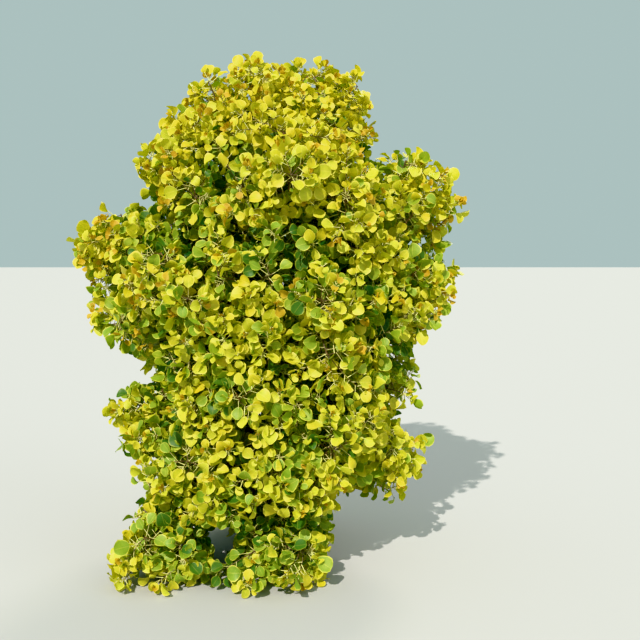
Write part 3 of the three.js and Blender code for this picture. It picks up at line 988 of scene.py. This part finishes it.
hollows = [  # the dark recesses in the front of the crown, then the notches in its outline
    ((0.175, -0.5, 1.4), (0.09, 0.3, 0.11)),
    ((-0.22, -0.36, 1.46), (0.085, 0.23, 0.075)),
    ((-0.09, -0.37, 1.71), (0.075, 0.2, 0.085)),
    ((0.29, -0.57, 1.29), (0.06, 0.16, 0.045)),
    ((-0.12, -0.62, 0.83), (0.08, 0.12, 0.06)),
    ((0.215, -0.62, 0.56), (0.04, 0.18, 0.12)),
    ((-0.09, -0.46, 0.19), (0.16, 0.38, 0.13)),
    ((0.18, -0.6, 0.2), (0.045, 0.18, 0.09)),
    ((-0.62, -0.1, 0.84), (0.12, 0.25, 0.05)),
    ((-0.66, -0.15, 0.93), (0.13, 0.35, 0.09)),
    ((-0.57, -0.1, 0.46), (0.08, 0.22, 0.06)),
    ((-0.5, -0.1, 1.69), (0.11, 0.3, 0.05)),
    ((-0.67, -0.12, 1.02), (0.14, 0.35, 0.08)),
    ((-0.56, -0.3, 0.3), (0.07, 0.22, 0.04)),
    ((0.57, 0, 2.14), (0.09, 0.3, 0.05)),
    ((0.77, -0.06, 0.39), (0.09, 0.3, 0.045)),
    ((0.9, -0.05, 1.1), (0.11, 0.3, 0.08)),
    ((0.95, -0.05, 1.4), (0.08, 0.3, 0.04)),
    ((0.8, -0.1, 0.96), (0.09, 0.3, 0.05)),
    ((0.94, -0.05, 1.83), (0.09, 0.3, 0.05)),
    ((0.96, -0.05, 1.575), (0.09, 0.3, 0.045)),
    ((-0.17, -0.2, 2.28), (0.09, 0.3, 0.05)),
    ((0.67, -0.15, 1.97), (0.08, 0.3, 0.09)),
    ((-0.57, -0.15, 0.86), (0.08, 0.3, 0.05)),
]
thinned = reaches * [fullness.get(name, (1, 1, 1)) for name in names]
crownMiddles = np.array([*middles, *(body[0] for body in cores + hollows)])
crownReaches = np.array([*thinned, *(body[1] for body in cores + hollows)])
crownSigns = np.array([1] * (len(names) + len(cores)) + [-hollowDepth] * len(hollows))


# The crown's sum at each point, where hollows count against it, and the way in which the sum
# falls fastest
def crownSum(points):
    offset = (points[:, None] - crownMiddles) / crownReaches
    weight = crownSigns * np.exp(-fill["fade"] * (np.sum(offset**2, -1) - 1))
    slope = np.sum(weight[..., None] * offset / crownReaches, 1)
    return weight.sum(1), unit(slope)


# How far the crown's surface wanders at a point, as a factor of the sum: a power of e, of the
# sum of three sines along three ways. The numbers are the waves' rates a metre.
def wander(points):
    wave = np.sin(points @ [11.3, 5.1, 7.7] + 1) + np.sin(points @ [-6.1, 12.9, 9.3] + 2)
    wave = wave + np.sin(points @ [7.9, -8.3, 14.1] + 4)
    return np.exp(fill["ragged"] * wave)


# Draws ends back towards their starts, in steps, until they are inside the crown's surface
def drawBack(starts, ends, surface, steps, share):
    for attempt in range(steps):
        past = crownSum(ends)[0] < surface * wander(ends)
        ends[past] += (starts[past] - ends[past]) * share


# Twigs end where the crown does, and the sprays beyond their ends are left out
twigStarts = np.array([grown["root"] for grown in twigs])
twigEnds = np.array([grown["end"] for grown in twigs])
twigMass = np.array([grown["mass"] for grown in twigs])
drawBack(twigStarts, twigEnds, fill["twigSurface"], *fill["twigSteps"])
kept = []
for found in sites:
    grown = found["twig"]
    longest = np.linalg.norm(twigEnds[grown] - twigStarts[grown]) + fill["pastEnd"]
    inside = crownSum(found["root"][None])[0][0] > fill["siteLeast"]
    if inside and np.linalg.norm(found["root"] - twigStarts[grown]) < longest:
        kept.append(found)
print("sprays kept:", len(kept), "of", len(sites))


# One value of every spray, in rows
def stack(key):
    return np.array([found[key] for found in kept], float)


roots, along, facing, tangents = (stack(key) for key in ("root", "along", "facing", "tangent"))
sizes = stack("size")[:, None]
sprayMass = np.array([found["mass"] for found in kept])
ends = roots + along * spray["reach"] * site["length"] * sizes + facing * spray["rise"]
drawBack(roots, ends, fill["siteSurface"], *fill["siteSteps"])

# Where finer shoots may end: points of a shaken grid that are inside the crown and inside the
# bush's reach. A point near the reach's sides counts as near the crown's surface.
lowCorner, highCorner = (middles - reaches).min(0), (middles + reaches).max(0)
ticks = [np.arange(a, b, fill["grid"]) for a, b in zip(lowCorner, highCorner)]
grid = np.stack(np.meshgrid(*ticks, indexing="ij"), -1).reshape(-1, 3)
grid = grid + draw.uniform(-0.5, 0.5, grid.shape) * fill["grid"]
depth, outward = crownSum(grid)
surface = fill["surface"] * wander(grid)
reachLow, reachHigh = reachBox[0] + fill["margin"], reachBox[1] - fill["margin"]
room = np.minimum(grid - reachLow, reachHigh - grid)[:, :2].min(1)
nearSide = np.minimum(depth, surface * np.exp(fill["boxFade"] * room))
depth = np.where(depth > surface, nearSide, depth)
inReach = (room > 0) & (grid[:, 2] < reachHigh[2]) & (grid[:, 2] > fill["lowest"])
inCrown = inReach & (depth >= surface) & (depth < fill["most"])
grid, depth, outward = grid[inCrown], depth[inCrown], outward[inCrown]
accepted, chosen = list(ends), []
for i in np.argsort(depth):
    apart = fill["apart"] if depth[i] < fill["inner"] else fill["innerApart"]
    if np.min(np.sum((np.array(accepted) - grid[i]) ** 2, 1)) < apart * apart:
        continue
    if clearOfLimbs(grid[i : i + 1], fill["limbClearance"]):
        accepted.append(grid[i])
        chosen.append(i)
moreEnds, moreFacing = grid[chosen], outward[chosen]

# Each springs from the nearest point of a twig or a mass's stem that it can grow outwards from:
# a point costs its distance, and more where the shoot would run inwards or be very short
anchorRule = {
    "shares": (0.15, 0.97, 12),  # the first and last points of a twig, and how many
    "outwards": 0.3,  # the least cosine to the way out that costs nothing
    "inwardsCost": 0.1,
    "shortest": 0.05,
    "shortCost": 0.3,
}
stemStarts, stemEnds = (np.array(points) for points in zip(*massStems))
anchorShare = np.linspace(*anchorRule["shares"])[:, None, None]
anchors = np.concatenate(
    [
        (twigStarts + (twigEnds - twigStarts) * anchorShare).reshape(-1, 3),
        (stemStarts + (stemEnds - stemStarts) * anchorShare).reshape(-1, 3),
    ]
)
anchorWays = np.concatenate(
    [
        np.tile(unit(twigEnds - twigStarts), (len(anchorShare), 1)),
        np.tile(unit(stemEnds - stemStarts), (len(anchorShare), 1)),
    ]
)
fromAnchor = moreEnds[:, None] - anchors
distance = np.linalg.norm(fromAnchor, axis=-1)
cosine = np.sum(fromAnchor * moreFacing[:, None], -1) / distance
inwards = np.maximum(0, anchorRule["outwards"] - cosine)
short = np.maximum(0, anchorRule["shortest"] - distance)
cost = distance + anchorRule["inwardsCost"] * inwards + anchorRule["shortCost"] * short
best = np.argmin(cost, 1)
print("finer shoots:", len(moreEnds), "longest", round(float(distance.min(1).max()), 3))

roots = np.concatenate([roots, anchors[best]])
ends = np.concatenate([ends, moreEnds])
along = np.concatenate([along, unit(moreEnds - anchors[best])])
facing = np.concatenate([facing, moreFacing])
tangents = np.concatenate([tangents, anchorWays[best]])
nearMass = np.argmin(np.linalg.norm((moreEnds[:, None] - middles) / reaches, axis=-1), 1)
sprayMass = np.concatenate([sprayMass, nearMass])
shading = {
    "skyward": 0.35,  # how much of straight up is added to the light's way
    "cone": 0.5,  # the least cosine at which one spray shades another
    "reach": 0.45,
    "itself": 0.01,
}
light = np.array([lightAt(point, mass) for point, mass in zip(ends, sprayMass)])
light = unit(light + shading["skyward"] * up)
outShare, alongShare, upShare = spray["tipWay"]
tipWay = unit(outShare * facing + alongShare * along + upShare * up)
length = np.linalg.norm(ends - roots, axis=1)[:, None]
shoots = np.stack(
    [
        roots,
        roots + spray["bend"] * length * unit(along + spray["alongTwig"] * tangents),
        ends - np.minimum(spray["tipLength"], spray["tipShare"] * length) * tipWay,
        ends,
    ],
    1,
)

# How shaded each spray is: the sprays that lie between it and its light, near ones most
between = ends[None] - ends[:, None]
distance = np.linalg.norm(between, axis=-1) + 1e-6
towards = np.sum(between * light[:, None], -1) / distance
nearness = np.maximum(0, 1 - distance / shading["reach"])
shade = np.sum((towards > shading["cone"]) * nearness * (distance > shading["itself"]), 1)
print("shade of the sprays:", np.round(np.quantile(shade, [0, 0.25, 0.5, 0.75, 1]), 2))

# The twigs, the masses' stems and the shoots. Sway is how far a rod leaves its straight line.
wood = {
    "stem": {"startRadius": 0.0085, "endRadius": 0.006, "sides": 8, "rings": 12, "sway": 0.002},
    "twig": {
        "startRadius": twig["radius"] * 0.85,
        "endRadius": twig["tipRadius"],
        "sides": 6,
        "rings": 10,
        "sway": 0.003,
    },
    "shoot": {"radius": 0.0024, "thinner": 0.0011, "sides": 3, "rings": 5},
}
rodBend = {"reference": (0.31, 0.22, 0.9), "secondWave": 0.6, "sideWave": 0.5}


# Bent rods between points, thinner towards their ends: a straight line, and across it half a
# sine wave along its length and a smaller whole one, of random heights
def rods(starts, ends, startRadius, endRadius, sides, rings, sway):
    share = np.linspace(0, 1, rings)[:, None]
    way = ends - starts
    reference = unit(np.cross(way, np.array(rodBend["reference"])))
    second = np.cross(unit(way), reference)
    bend = draw.normal(size=(len(starts), 2, 1, 1)) * sway
    half, whole = np.sin(np.pi * share), np.sin(2 * np.pi * share)
    arch = half * bend[:, 0] + whole * bend[:, 1] * rodBend["secondWave"]
    centres = starts[:, None] + way[:, None] * share + arch * reference[:, None]
    centres = centres + whole * bend[:, 0] * rodBend["sideWave"] * second[:, None]
    radii = startRadius + (endRadius - startRadius) * share[:, 0]
    return tubes(centres, np.repeat(radii[None], len(starts), 0), sides, reference)


shootShare = np.linspace(0, 1, wood["shoot"]["rings"])
shootCentres = [curvePoint(shoots, np.full(len(shoots), share)) for share in shootShare]
shootRadii = wood["shoot"]["radius"] - wood["shoot"]["thinner"] * shootShare
shootRadii = np.repeat(shootRadii[None], len(shoots), 0)
twigGroups = [
    rods(stemStarts, stemEnds, **wood["stem"]),
    rods(twigStarts, twigEnds, **wood["twig"]),
    tubes(np.stack(shootCentres, 1), shootRadii, wood["shoot"]["sides"], facing, capped=False),
]
piece("twigs", *joined(twigGroups), twigBark, "bark", foliageNodes)

# A leaf set in space: where its stalk starts, the stalk's way and length, its blade's length,
# which way it looks, how far it folds and curls, and its grade. A grade grows from green to
# gold, and that of a young leaf is past all others.
leaves = {key: [] for key in "attach way stalk blade look fold curl grade".split()}
youngGrade = 99.0


# Adds leaves: one value or row for each, or one number for all
def addLeaves(**values):
    count = len(values["attach"])
    for key, value in values.items():
        value = np.asarray(value, float)
        shape = (count, *value.shape[1:]) if value.ndim else count
        leaves[key].append(np.broadcast_to(value, shape))


kindNames = list(leafLooks)
paintedLightZones = [  # painted light and shade: where sprays are dealt golden leaves to look lit, or greener, darker ones to look shaded
    ((-0.02, -0.3, 1.98), (0.3, 0.3, 0.13), 1.8),
    ((0.1, -0.5, 0.98), (0.45, 0.3, 0.09), 0.9),
    ((0.36, -0.45, 1.52), (0.15, 0.3, 0.08), 1.8),
    ((-0.23, -0.35, 1.74), (0.1, 0.3, 0.08), 1.3),
    ((0.53, -0.35, 1.48), (0.14, 0.3, 0.09), 1.5),
    ((0.14, -0.55, 1.09), (0.1, 0.3, 0.16), 1.3),
    ((0.41, -0.5, 1.36), (0.1, 0.3, 0.07), 1.2),
    ((0.17, -0.55, 1.67), (0.1, 0.3, 0.07), 1.2),
    ((0.02, -0.5, 0.12), (0.08, 0.3, 0.1), -0.8),
    ((0.19, -0.5, 0.12), (0.07, 0.3, 0.07), -0.8),
    ((0.07, -0.5, 0.35), (0.08, 0.3, 0.06), 1.5),
    ((-0.13, -0.5, 1.35), (0.15, 0.3, 0.1), 1.6),
    ((0.5, -0.3, 0.56), (0.2, 0.3, 0.12), 1.0),
    ((-0.02, -0.5, 0.62), (0.1, 0.3, 0.14), 2.0),
    ((-0.33, -0.4, 1.22), (0.1, 0.3, 0.12), -0.9),
    ((0.0, -0.5, 0.75), (0.25, 0.3, 0.07), -0.9),
    ((-0.42, -0.32, 0.58), (0.19, 0.3, 0.08), -1.2),
    ((-0.1, -0.4, 1.02), (0.12, 0.3, 0.07), 1.1),
    ((0.02, -0.5, 0.84), (0.08, 0.3, 0.06), 1.2),
    ((0.19, -0.45, 2.13), (0.14, 0.3, 0.06), -0.8),
    ((-0.05, -0.4, 1.74), (0.1, 0.3, 0.08), -1.2),
]
# What makes a spray's leaves greener or more golden, and larger or smaller. Its shade, light from
# above, its height and the hollows deal greener, darker leaves where shade falls and golden ones
# where light falls: partly how a golden bush grows, partly painted shade and painted light. Where
# there are two rows, the first is heights and the second is the value at them.
tintsWithPaintedLight = {
    # painted shade in part: the more shade, the greener and darker the leaves
    "shade": -0.36,
    "byChance": 0.35,
    # painted light in part: light from above and a high place make leaves more golden
    "fromAbove": 0.25,
    "top": ([1.4, 2.1], [0, 1.2]),
    # painted shade: how much greener and darker the leaves near the hollows are
    "hollow": -1.2,
    "hollowFade": 0.8,
    "hollowReach": 1.2,  # in hollows' reaches, squared
    "alongShoot": 2.2,
    "byLeaf": 0.7,
    "vigour": ([0, 0.8, 1.6, 2.3], [1.03, 1.0, 0.93, 0.82]),  # of the leaves' size
    "limits": [0.125, 0.37, 0.66],  # shares of the leaves up to deep, olive and lime
    "amber": ([1.2, 1.75, 2.1], [0.12, 0.3, 0.8]),  # share of the golden leaves
}
young = {  # which shoots end in young leaves, and the small ones at the tips
    "mostShade": 3.2,
    "lowest": 1.0,
    "share": 0.4,
    "from": 0.8,  # share of the shoot
    "perTip": 3,
    "tipShade": 1.2,
    "tipShare": 0.75,
    "turn": 1.7,
    "outwards": 0.35,
    "stalk": 0.006,
    "longer": 0.003,  # each next one's stalk
    "blade": 0.024,
    "bladeFactor": (0.7, 0.5),  # the least and what chance adds
    "lookAlong": 0.4,
    "fold": 0.55,
    "curl": -0.3,
}
droop = {"height": 0.25, "most": 0.5}  # the lowest leaves hang
vigour = np.interp(ends[:, 2], *tintsWithPaintedLight["vigour"])
# Painted shade and light in part: the tone falls with the shade and rises with light from above and
# with height
tone = tintsWithPaintedLight["shade"] * shade + draw.normal(size=len(shade)) * tintsWithPaintedLight["byChance"]
tone = tone + tintsWithPaintedLight["fromAbove"] * light[:, 2] + np.interp(ends[:, 2], *tintsWithPaintedLight["top"])
# Painted shade: sprays near the hollows are dealt greener, darker leaves, so the recesses look dark
hollowMiddles, hollowReaches = (np.array(rows) for rows in zip(*hollows))
near = np.sum(((ends[:, None] - hollowMiddles) / hollowReaches) ** 2, -1).min(1)
near = np.maximum(0, near - tintsWithPaintedLight["hollowReach"])
tone += tintsWithPaintedLight["hollow"] * np.exp(-tintsWithPaintedLight["hollowFade"] * near)
# Painted light and shade: each zone raises or lowers the tone of the sprays within it
for middle, reach, gain in paintedLightZones:
    tone += gain * np.exp(-np.sum(((ends - middle) / reach) ** 2, 1))
hang = (droop["most"] * np.maximum(0, 1 - ends[:, 2] / droop["height"]))[:, None]
growing = (shade < young["mostShade"]) & (ends[:, 2] > young["lowest"])
growing = growing & (draw.random(len(shade)) < young["share"])


# The value between a pair's two, at a share
def mix(pair, share):
    return pair[0] + (pair[1] - pair[0]) * share


# Factors about 1: 1 plus a spread times each number, kept between a least and a most
def factors(numbers, spread, least, most):
    return (1 + spread * numbers).clip(least, most)


# The leaves of each shoot stand round it a golden turn apart, at an angle that closes to its tip
count = len(shoots)
byMass, byShoot, byChance = spray["turns"]
toLight, fromShoot, anyWay = spray["look"]
leastFold, foldSpread, foldPower = spray["fold"]
for k in range(spray["leaves"]):
    t = k / (spray["leaves"] - 1)
    share = spray["firstLeaf"] + (1 - spray["firstLeaf"]) * t ** spray["crowding"]
    share = np.full(count, share)
    attach, axis = curvePoint(shoots, share), curveTangent(shoots, share)
    first, second = sideways(axis, facing + spray["tilt"] * along)
    turn = (k * goldenTurn + sprayMass * byMass + np.arange(count) * byShoot)[:, None]
    turn = turn + draw.normal(size=turn.shape) * byChance
    spoke = first * np.cos(turn) + second * np.sin(turn)
    splay = mix(spray["splay"], t) + draw.normal(size=turn.shape) * spray["splaySpread"]
    way = unit(spoke * np.sin(splay) + axis * np.cos(splay))
    bladeLength = mix(spray["blade"], t ** spray["bladeCurve"])
    spread = draw.normal(size=(count, 2))
    look = toLight * light + fromShoot * spoke + anyWay * draw.normal(size=spoke.shape)
    grade = tone + tintsWithPaintedLight["alongShoot"] * (t - 0.5) + draw.normal(size=count) * tintsWithPaintedLight["byLeaf"]
    addLeaves(
        attach=attach,
        way=unit(way + spray["outwards"] * spoke - hang * up),
        stalk=mix(spray["stalk"], t) * (1 + spray["stalkSpread"] * spread[:, 0]) * vigour,
        blade=bladeLength * factors(spread[:, 1], *spray["bladeSpread"]) * vigour,
        look=unit(look),
        fold=leastFold + foldSpread * draw.random(count) ** foldPower,
        curl=draw.normal(size=count) * spray["curl"][1] + spray["curl"][0],
        grade=np.where(growing & (t > young["from"]), youngGrade, grade),
    )

# Greener, darker leaves along the twigs, under the sprays: partly the bush's shade leaves, partly
# painted shade inside the crown
inner = {
    "perTwig": 11,
    "from": 0.2,  # the first stands here and the others over this share of the twig
    "over": 0.75,
    "turnSpread": 0.3,
    "forward": 0.35,  # of the twig's way, added to a stalk's way
    "stalk": 0.042,
    "stalkSpread": 0.2,
    "blade": 0.058,
    "bladeSpread": (0.13, 0.7, 1.3),
    "look": (0.8, 0.5, 0.35),  # a leaf faces the light, up and anywhere
    "fold": (0.15, 0.2),  # the least and what chance adds
    "curl": (0.2, 0.3),  # the mean and the spread
    "grade": -2.2,
    "gradeAlong": 1.2,
    "gradeSpread": 0.3,
}
twigWay = unit(twigEnds - twigStarts)
toLight, upwards, anyWay = inner["look"]
count = len(twigs)
for k in range(inner["perTwig"]):
    share = inner["from"] + inner["over"] * (k + draw.random((count, 1))) / inner["perTwig"]
    attach = twigStarts + (twigEnds - twigStarts) * share
    glance = np.array([lightAt(point, mass) for point, mass in zip(attach, twigMass)])
    first, second = sideways(twigWay, up + 0.01)
    turn = k * goldenTurn + draw.normal(size=(count, 1)) * inner["turnSpread"] + twigMass[:, None]
    spoke = first * np.cos(turn) + second * np.sin(turn)
    addLeaves(
        attach=attach,
        way=unit(spoke + inner["forward"] * twigWay),
        stalk=inner["stalk"] * (1 + inner["stalkSpread"] * draw.normal(size=count)),
        blade=inner["blade"] * factors(draw.normal(size=count), *inner["bladeSpread"]),
        look=unit(toLight * glance + upwards * up + anyWay * draw.normal(size=spoke.shape)),
        fold=inner["fold"][0] + inner["fold"][1] * draw.random(count),
        curl=draw.normal(size=count) * inner["curl"][1] + inner["curl"][0],
        grade=inner["grade"]
        + inner["gradeAlong"] * share[:, 0]
        + draw.normal(size=count) * inner["gradeSpread"],
    )

# Small young leaves that stand at the shoots' tips
leastFactor, factorSpread = young["bladeFactor"]
for k in range(young["perTip"]):
    lit = (shade < young["tipShade"]) & (draw.random(len(shade)) < young["tipShare"])
    count = lit.sum()
    axis = curveTangent(shoots[lit], np.full(count, 1.0))
    first, second = sideways(axis, along[lit])
    turn = (k * goldenTurn + np.arange(count) * young["turn"])[:, None]
    spoke = first * np.cos(turn) + second * np.sin(turn)
    addLeaves(
        attach=ends[lit],
        way=unit(axis + young["outwards"] * spoke),
        stalk=young["stalk"] + young["longer"] * k,
        blade=young["blade"] * (leastFactor + factorSpread * draw.random(count)),
        look=unit(spoke + young["lookAlong"] * axis),
        fold=young["fold"],
        curl=young["curl"],
        grade=youngGrade,
    )
leaves = {key: np.concatenate(value) for key, value in leaves.items()}

# A leaf that would reach past the bush's box turns back from that side
setting = {"tries": 2, "turnBack": -0.2, "lieFlat": 0.75}
leafLow, leafHigh = reachBox[0] - [0, 0, 1], reachBox[1]
leafReach = (leaves["stalk"] + leaves["blade"])[:, None]
for attempt in range(setting["tries"]):
    tips = leaves["attach"] + leaves["way"] * leafReach
    past = (tips < leafLow) | (tips > leafHigh)
    leaves["way"] = unit(np.where(past, setting["turnBack"] * leaves["way"], leaves["way"]))
tips = leaves["attach"] + leaves["way"] * leafReach
inBox = (tips > leafLow).all(1) & (tips < leafHigh).all(1)
leaves = {key: value[inBox] for key, value in leaves.items()}
base = leaves["attach"] + leaves["way"] * leaves["stalk"][:, None]
towardsLook = dot(leaves["way"], leaves["look"])
leafWay = unit(leaves["way"] - setting["lieFlat"] * leaves["look"] * towardsLook)
leafUp = unit(leaves["look"] - leafWay * dot(leaves["look"], leafWay))

# Each kind but the last two takes its share of the grades. Golden leaves are amber on the newest
# growth, most of all at the top, and young leaves are bronze.
isYoung = leaves["grade"] == youngGrade
kinds = np.searchsorted(np.quantile(leaves["grade"][~isYoung], tintsWithPaintedLight["limits"]), leaves["grade"])
amberShare = np.interp(leaves["attach"][:, 2], *tintsWithPaintedLight["amber"])
newest = draw.random(len(kinds)) < amberShare
kinds[(kinds == kindNames.index("gold")) & newest] = kindNames.index("amber")
kinds[isYoung] = kindNames.index("bronze")
kindCounts = np.bincount(kinds, minlength=len(kindNames)).tolist()
print("leaves:", len(kinds), dict(zip(kindNames, kindCounts)))

leafShape = {
    "rows": (0.06, 0.2, 0.4, 0.62, 0.82, 0.95),
    "columns": (-1, 0, 1),
    "width": 0.92,
    "widest": 1.12,  # the power that sets how far along the blade is widest
    "roundness": 0.58,
    "leastCurl": 0.02,
    "sideRise": 0.55,
    "wave": 0.06,
    "waveRate": 8,
    "phases": 6.3,
    "notch": 0.03,
    "lowest": 0.004,
}


# Leaf blades on a grid of two shares, u across from -1 to 1 and v along from 0 to 1. Half the
# width is a power of the sine of pi times a power of v. Along the blade the points lie on an
# arc, the sine and cosine of the curl times v over the curl. The sides rise with the distance
# from the midrib, and the rim waves. The two ends are points, and the tip is drawn in.
def blades(base, way, top, length, fold, curl, square):
    rows, columns = leafShape["rows"], leafShape["columns"]
    v, u = np.meshgrid(rows, columns, indexing="ij")
    v = np.concatenate([[0], v.ravel(), [1]])[None]
    u = np.concatenate([[0], u.ravel(), [0]])[None]
    outline = np.sin(np.pi * v ** leafShape["widest"]).clip(0) ** leafShape["roundness"]
    x = u * (0.5 * leafShape["width"] * outline)
    least = leafShape["leastCurl"]
    bend = np.where(np.abs(curl) < least, least, curl)[:, None]
    y = np.sin(bend * v) / bend
    z = (np.cos(bend * v) - 1) / bend
    phase = draw.random((len(base), 1)) * leafShape["phases"]
    z = z + fold[:, None] * np.abs(x) * (leafShape["sideRise"] + np.abs(u))
    z = z + leafShape["wave"] * np.sin(leafShape["waveRate"] * v + phase) * u * np.abs(u)
    y = (y - leafShape["notch"] * (v == 1))[..., None]
    across = np.cross(way, top)
    blade = x[..., None] * across[:, None] + y * way[:, None] + z[..., None] * top[:, None]
    points = base[:, None] + length[:, None, None] * blade
    mapU = 0.5 + u[0] / leafMap["across"]
    mapV = leafMap["low"] + leafMap["tall"] * v[0]
    corner = np.stack([square % leafMap["squares"], square // leafMap["squares"]], -1)[:, None]
    spots = (np.stack([mapU, mapV], -1)[None] + corner) / leafMap["squares"]
    wide, tall = len(columns), len(rows)
    row, column = np.meshgrid(np.arange(tall - 1), np.arange(wide - 1), indexing="ij")
    a = 1 + row * wide + column
    grid = np.stack([a, a + 1, a + 1 + wide, a, a + 1 + wide, a + wide], -1).reshape(-1, 3)
    step = np.arange(wide - 1)
    last = 1 + (tall - 1) * wide
    first = np.stack([np.zeros_like(step), 2 + step, 1 + step], -1)
    end = np.stack([last + step, last + step + 1, np.full_like(step, 1 + tall * wide)], -1)
    return points, np.concatenate([grid, first, end]), spots


square = draw.integers(0, leafMap["squares"] ** 2, len(kinds))
points, faces, spots = blades(
    base, leafWay, leafUp, leaves["blade"], leaves["fold"], leaves["curl"], square
)

# A leaf that would touch the ground lies on it
sunk = np.maximum(0, leafShape["lowest"] - points[..., 2].min(1))
points[..., 2] += sunk[:, None]
base[:, 2] += sunk

mostTriangles = 199000  # in a piece
mostLeaves = mostTriangles // len(faces)
for kind, kindName in enumerate(kindNames):
    ours = np.flatnonzero(kinds == kind)
    for start in range(0, len(ours), mostLeaves):
        some = ours[start : start + mostLeaves]
        number = f"_{start // mostLeaves + 1}" if len(ours) > mostLeaves else ""
        shape = joined([(points[some], faces)])
        finish, places = leafKinds[kindName], spots[some].reshape(-1, 2)
        piece(f"leaves_{kindName}{number}", *shape, finish, "leaves", foliageNodes, places)

# The leaf stalks: thin three-sided rods that run a little way under the blade
stalkShape = {"radius": 0.002, "ends": (1.1, 0.75), "underBlade": 0.15, "below": 0.0006}
under = leafWay * stalkShape["underBlade"] * leaves["blade"][:, None]
stalkEnds = base + under - leafUp * stalkShape["below"]
stalkCentres = np.stack([leaves["attach"], stalkEnds], 1)
stalkRadii = np.repeat(np.array([stalkShape["ends"]]) * stalkShape["radius"], len(base), 0)
stalks = tubes(stalkCentres, stalkRadii, 3, leafUp, capped=False)
piece("leaf_stalks", *joined([stalks]), stalk, "leaves", foliageNodes)

# Floor, light and camera
studio = {
    "floor": (0.52, 0.51, 0.5),
    "floorRoughness": 0.9,
    "floorReach": 60,
    "world": (0.8, 1.02, 1.0),
    "worldStrength": 0.56,
    "suns": [  # where it stands, strength, softness in degrees, colour
        ((-0.25, -0.8, 0.66), 4.4, 0.8, (1, 0.96, 0.87)),
        ((0.75, -0.5, 0.45), 0.4, 40, (0.9, 0.98, 1)),
        ((0.3, 0.9, 0.7), 1.2, 20, (1, 0.96, 0.86)),
    ],
    "sunDistance": 6,
}
view = {
    "place": (0.306, -4.0, 1.45),
    "focal": 850,  # in pixels, as are the two below
    "below": 72,  # from the horizon down to the picture's middle
    "width": 640,
    "sensor": 36,
}
floorMesh = bpy.data.meshes.new("floor")
side = studio["floorReach"]
floorCorners = [(-side, -side, 0), (side, -side, 0), (side, side, 0), (-side, side, 0)]
floorMesh.from_pydata(floorCorners, [], [(0, 1, 2, 3)])
floor = bpy.data.objects.new("floor", floorMesh)
bpy.context.scene.collection.objects.link(floor)
paint = Finish("floor_paint")
flat = {"Base Color": (*studio["floor"], 1), "Roughness": studio["floorRoughness"]}
floorMesh.materials.append(paint.done(paint.node("ShaderNodeBsdfPrincipled", None, flat)))

world = bpy.data.worlds.new("studio")
world.use_nodes = True
sky = world.node_tree.nodes["Background"].inputs
sky["Color"].default_value = (*studio["world"], 1)
sky["Strength"].default_value = studio["worldStrength"]
bpy.context.scene.world = world

for number, (place, strength, softness, colour) in enumerate(studio["suns"]):
    lamp = bpy.data.lights.new(f"light_{number}", "SUN")
    lamp.energy, lamp.angle, lamp.color = strength, math.radians(softness), colour
    lampObject = bpy.data.objects.new(lamp.name, lamp)
    lampObject.location = Vector(place) * studio["sunDistance"]
    lampObject.rotation_euler = (-Vector(place)).to_track_quat("-Z", "Y").to_euler()
    bpy.context.scene.collection.objects.link(lampObject)

camera = bpy.data.objects.new("camera", bpy.data.cameras.new("camera"))
camera.location = view["place"]
camera.rotation_euler = (math.pi / 2 - math.atan(view["below"] / view["focal"]), 0, 0)
camera.data.lens = view["sensor"] * view["focal"] / view["width"]
bpy.context.scene.collection.objects.link(camera)
bpy.context.scene.camera = camera
bpy.context.scene.view_settings.view_transform = "Khronos PBR Neutral"
print("floor, light and camera made")
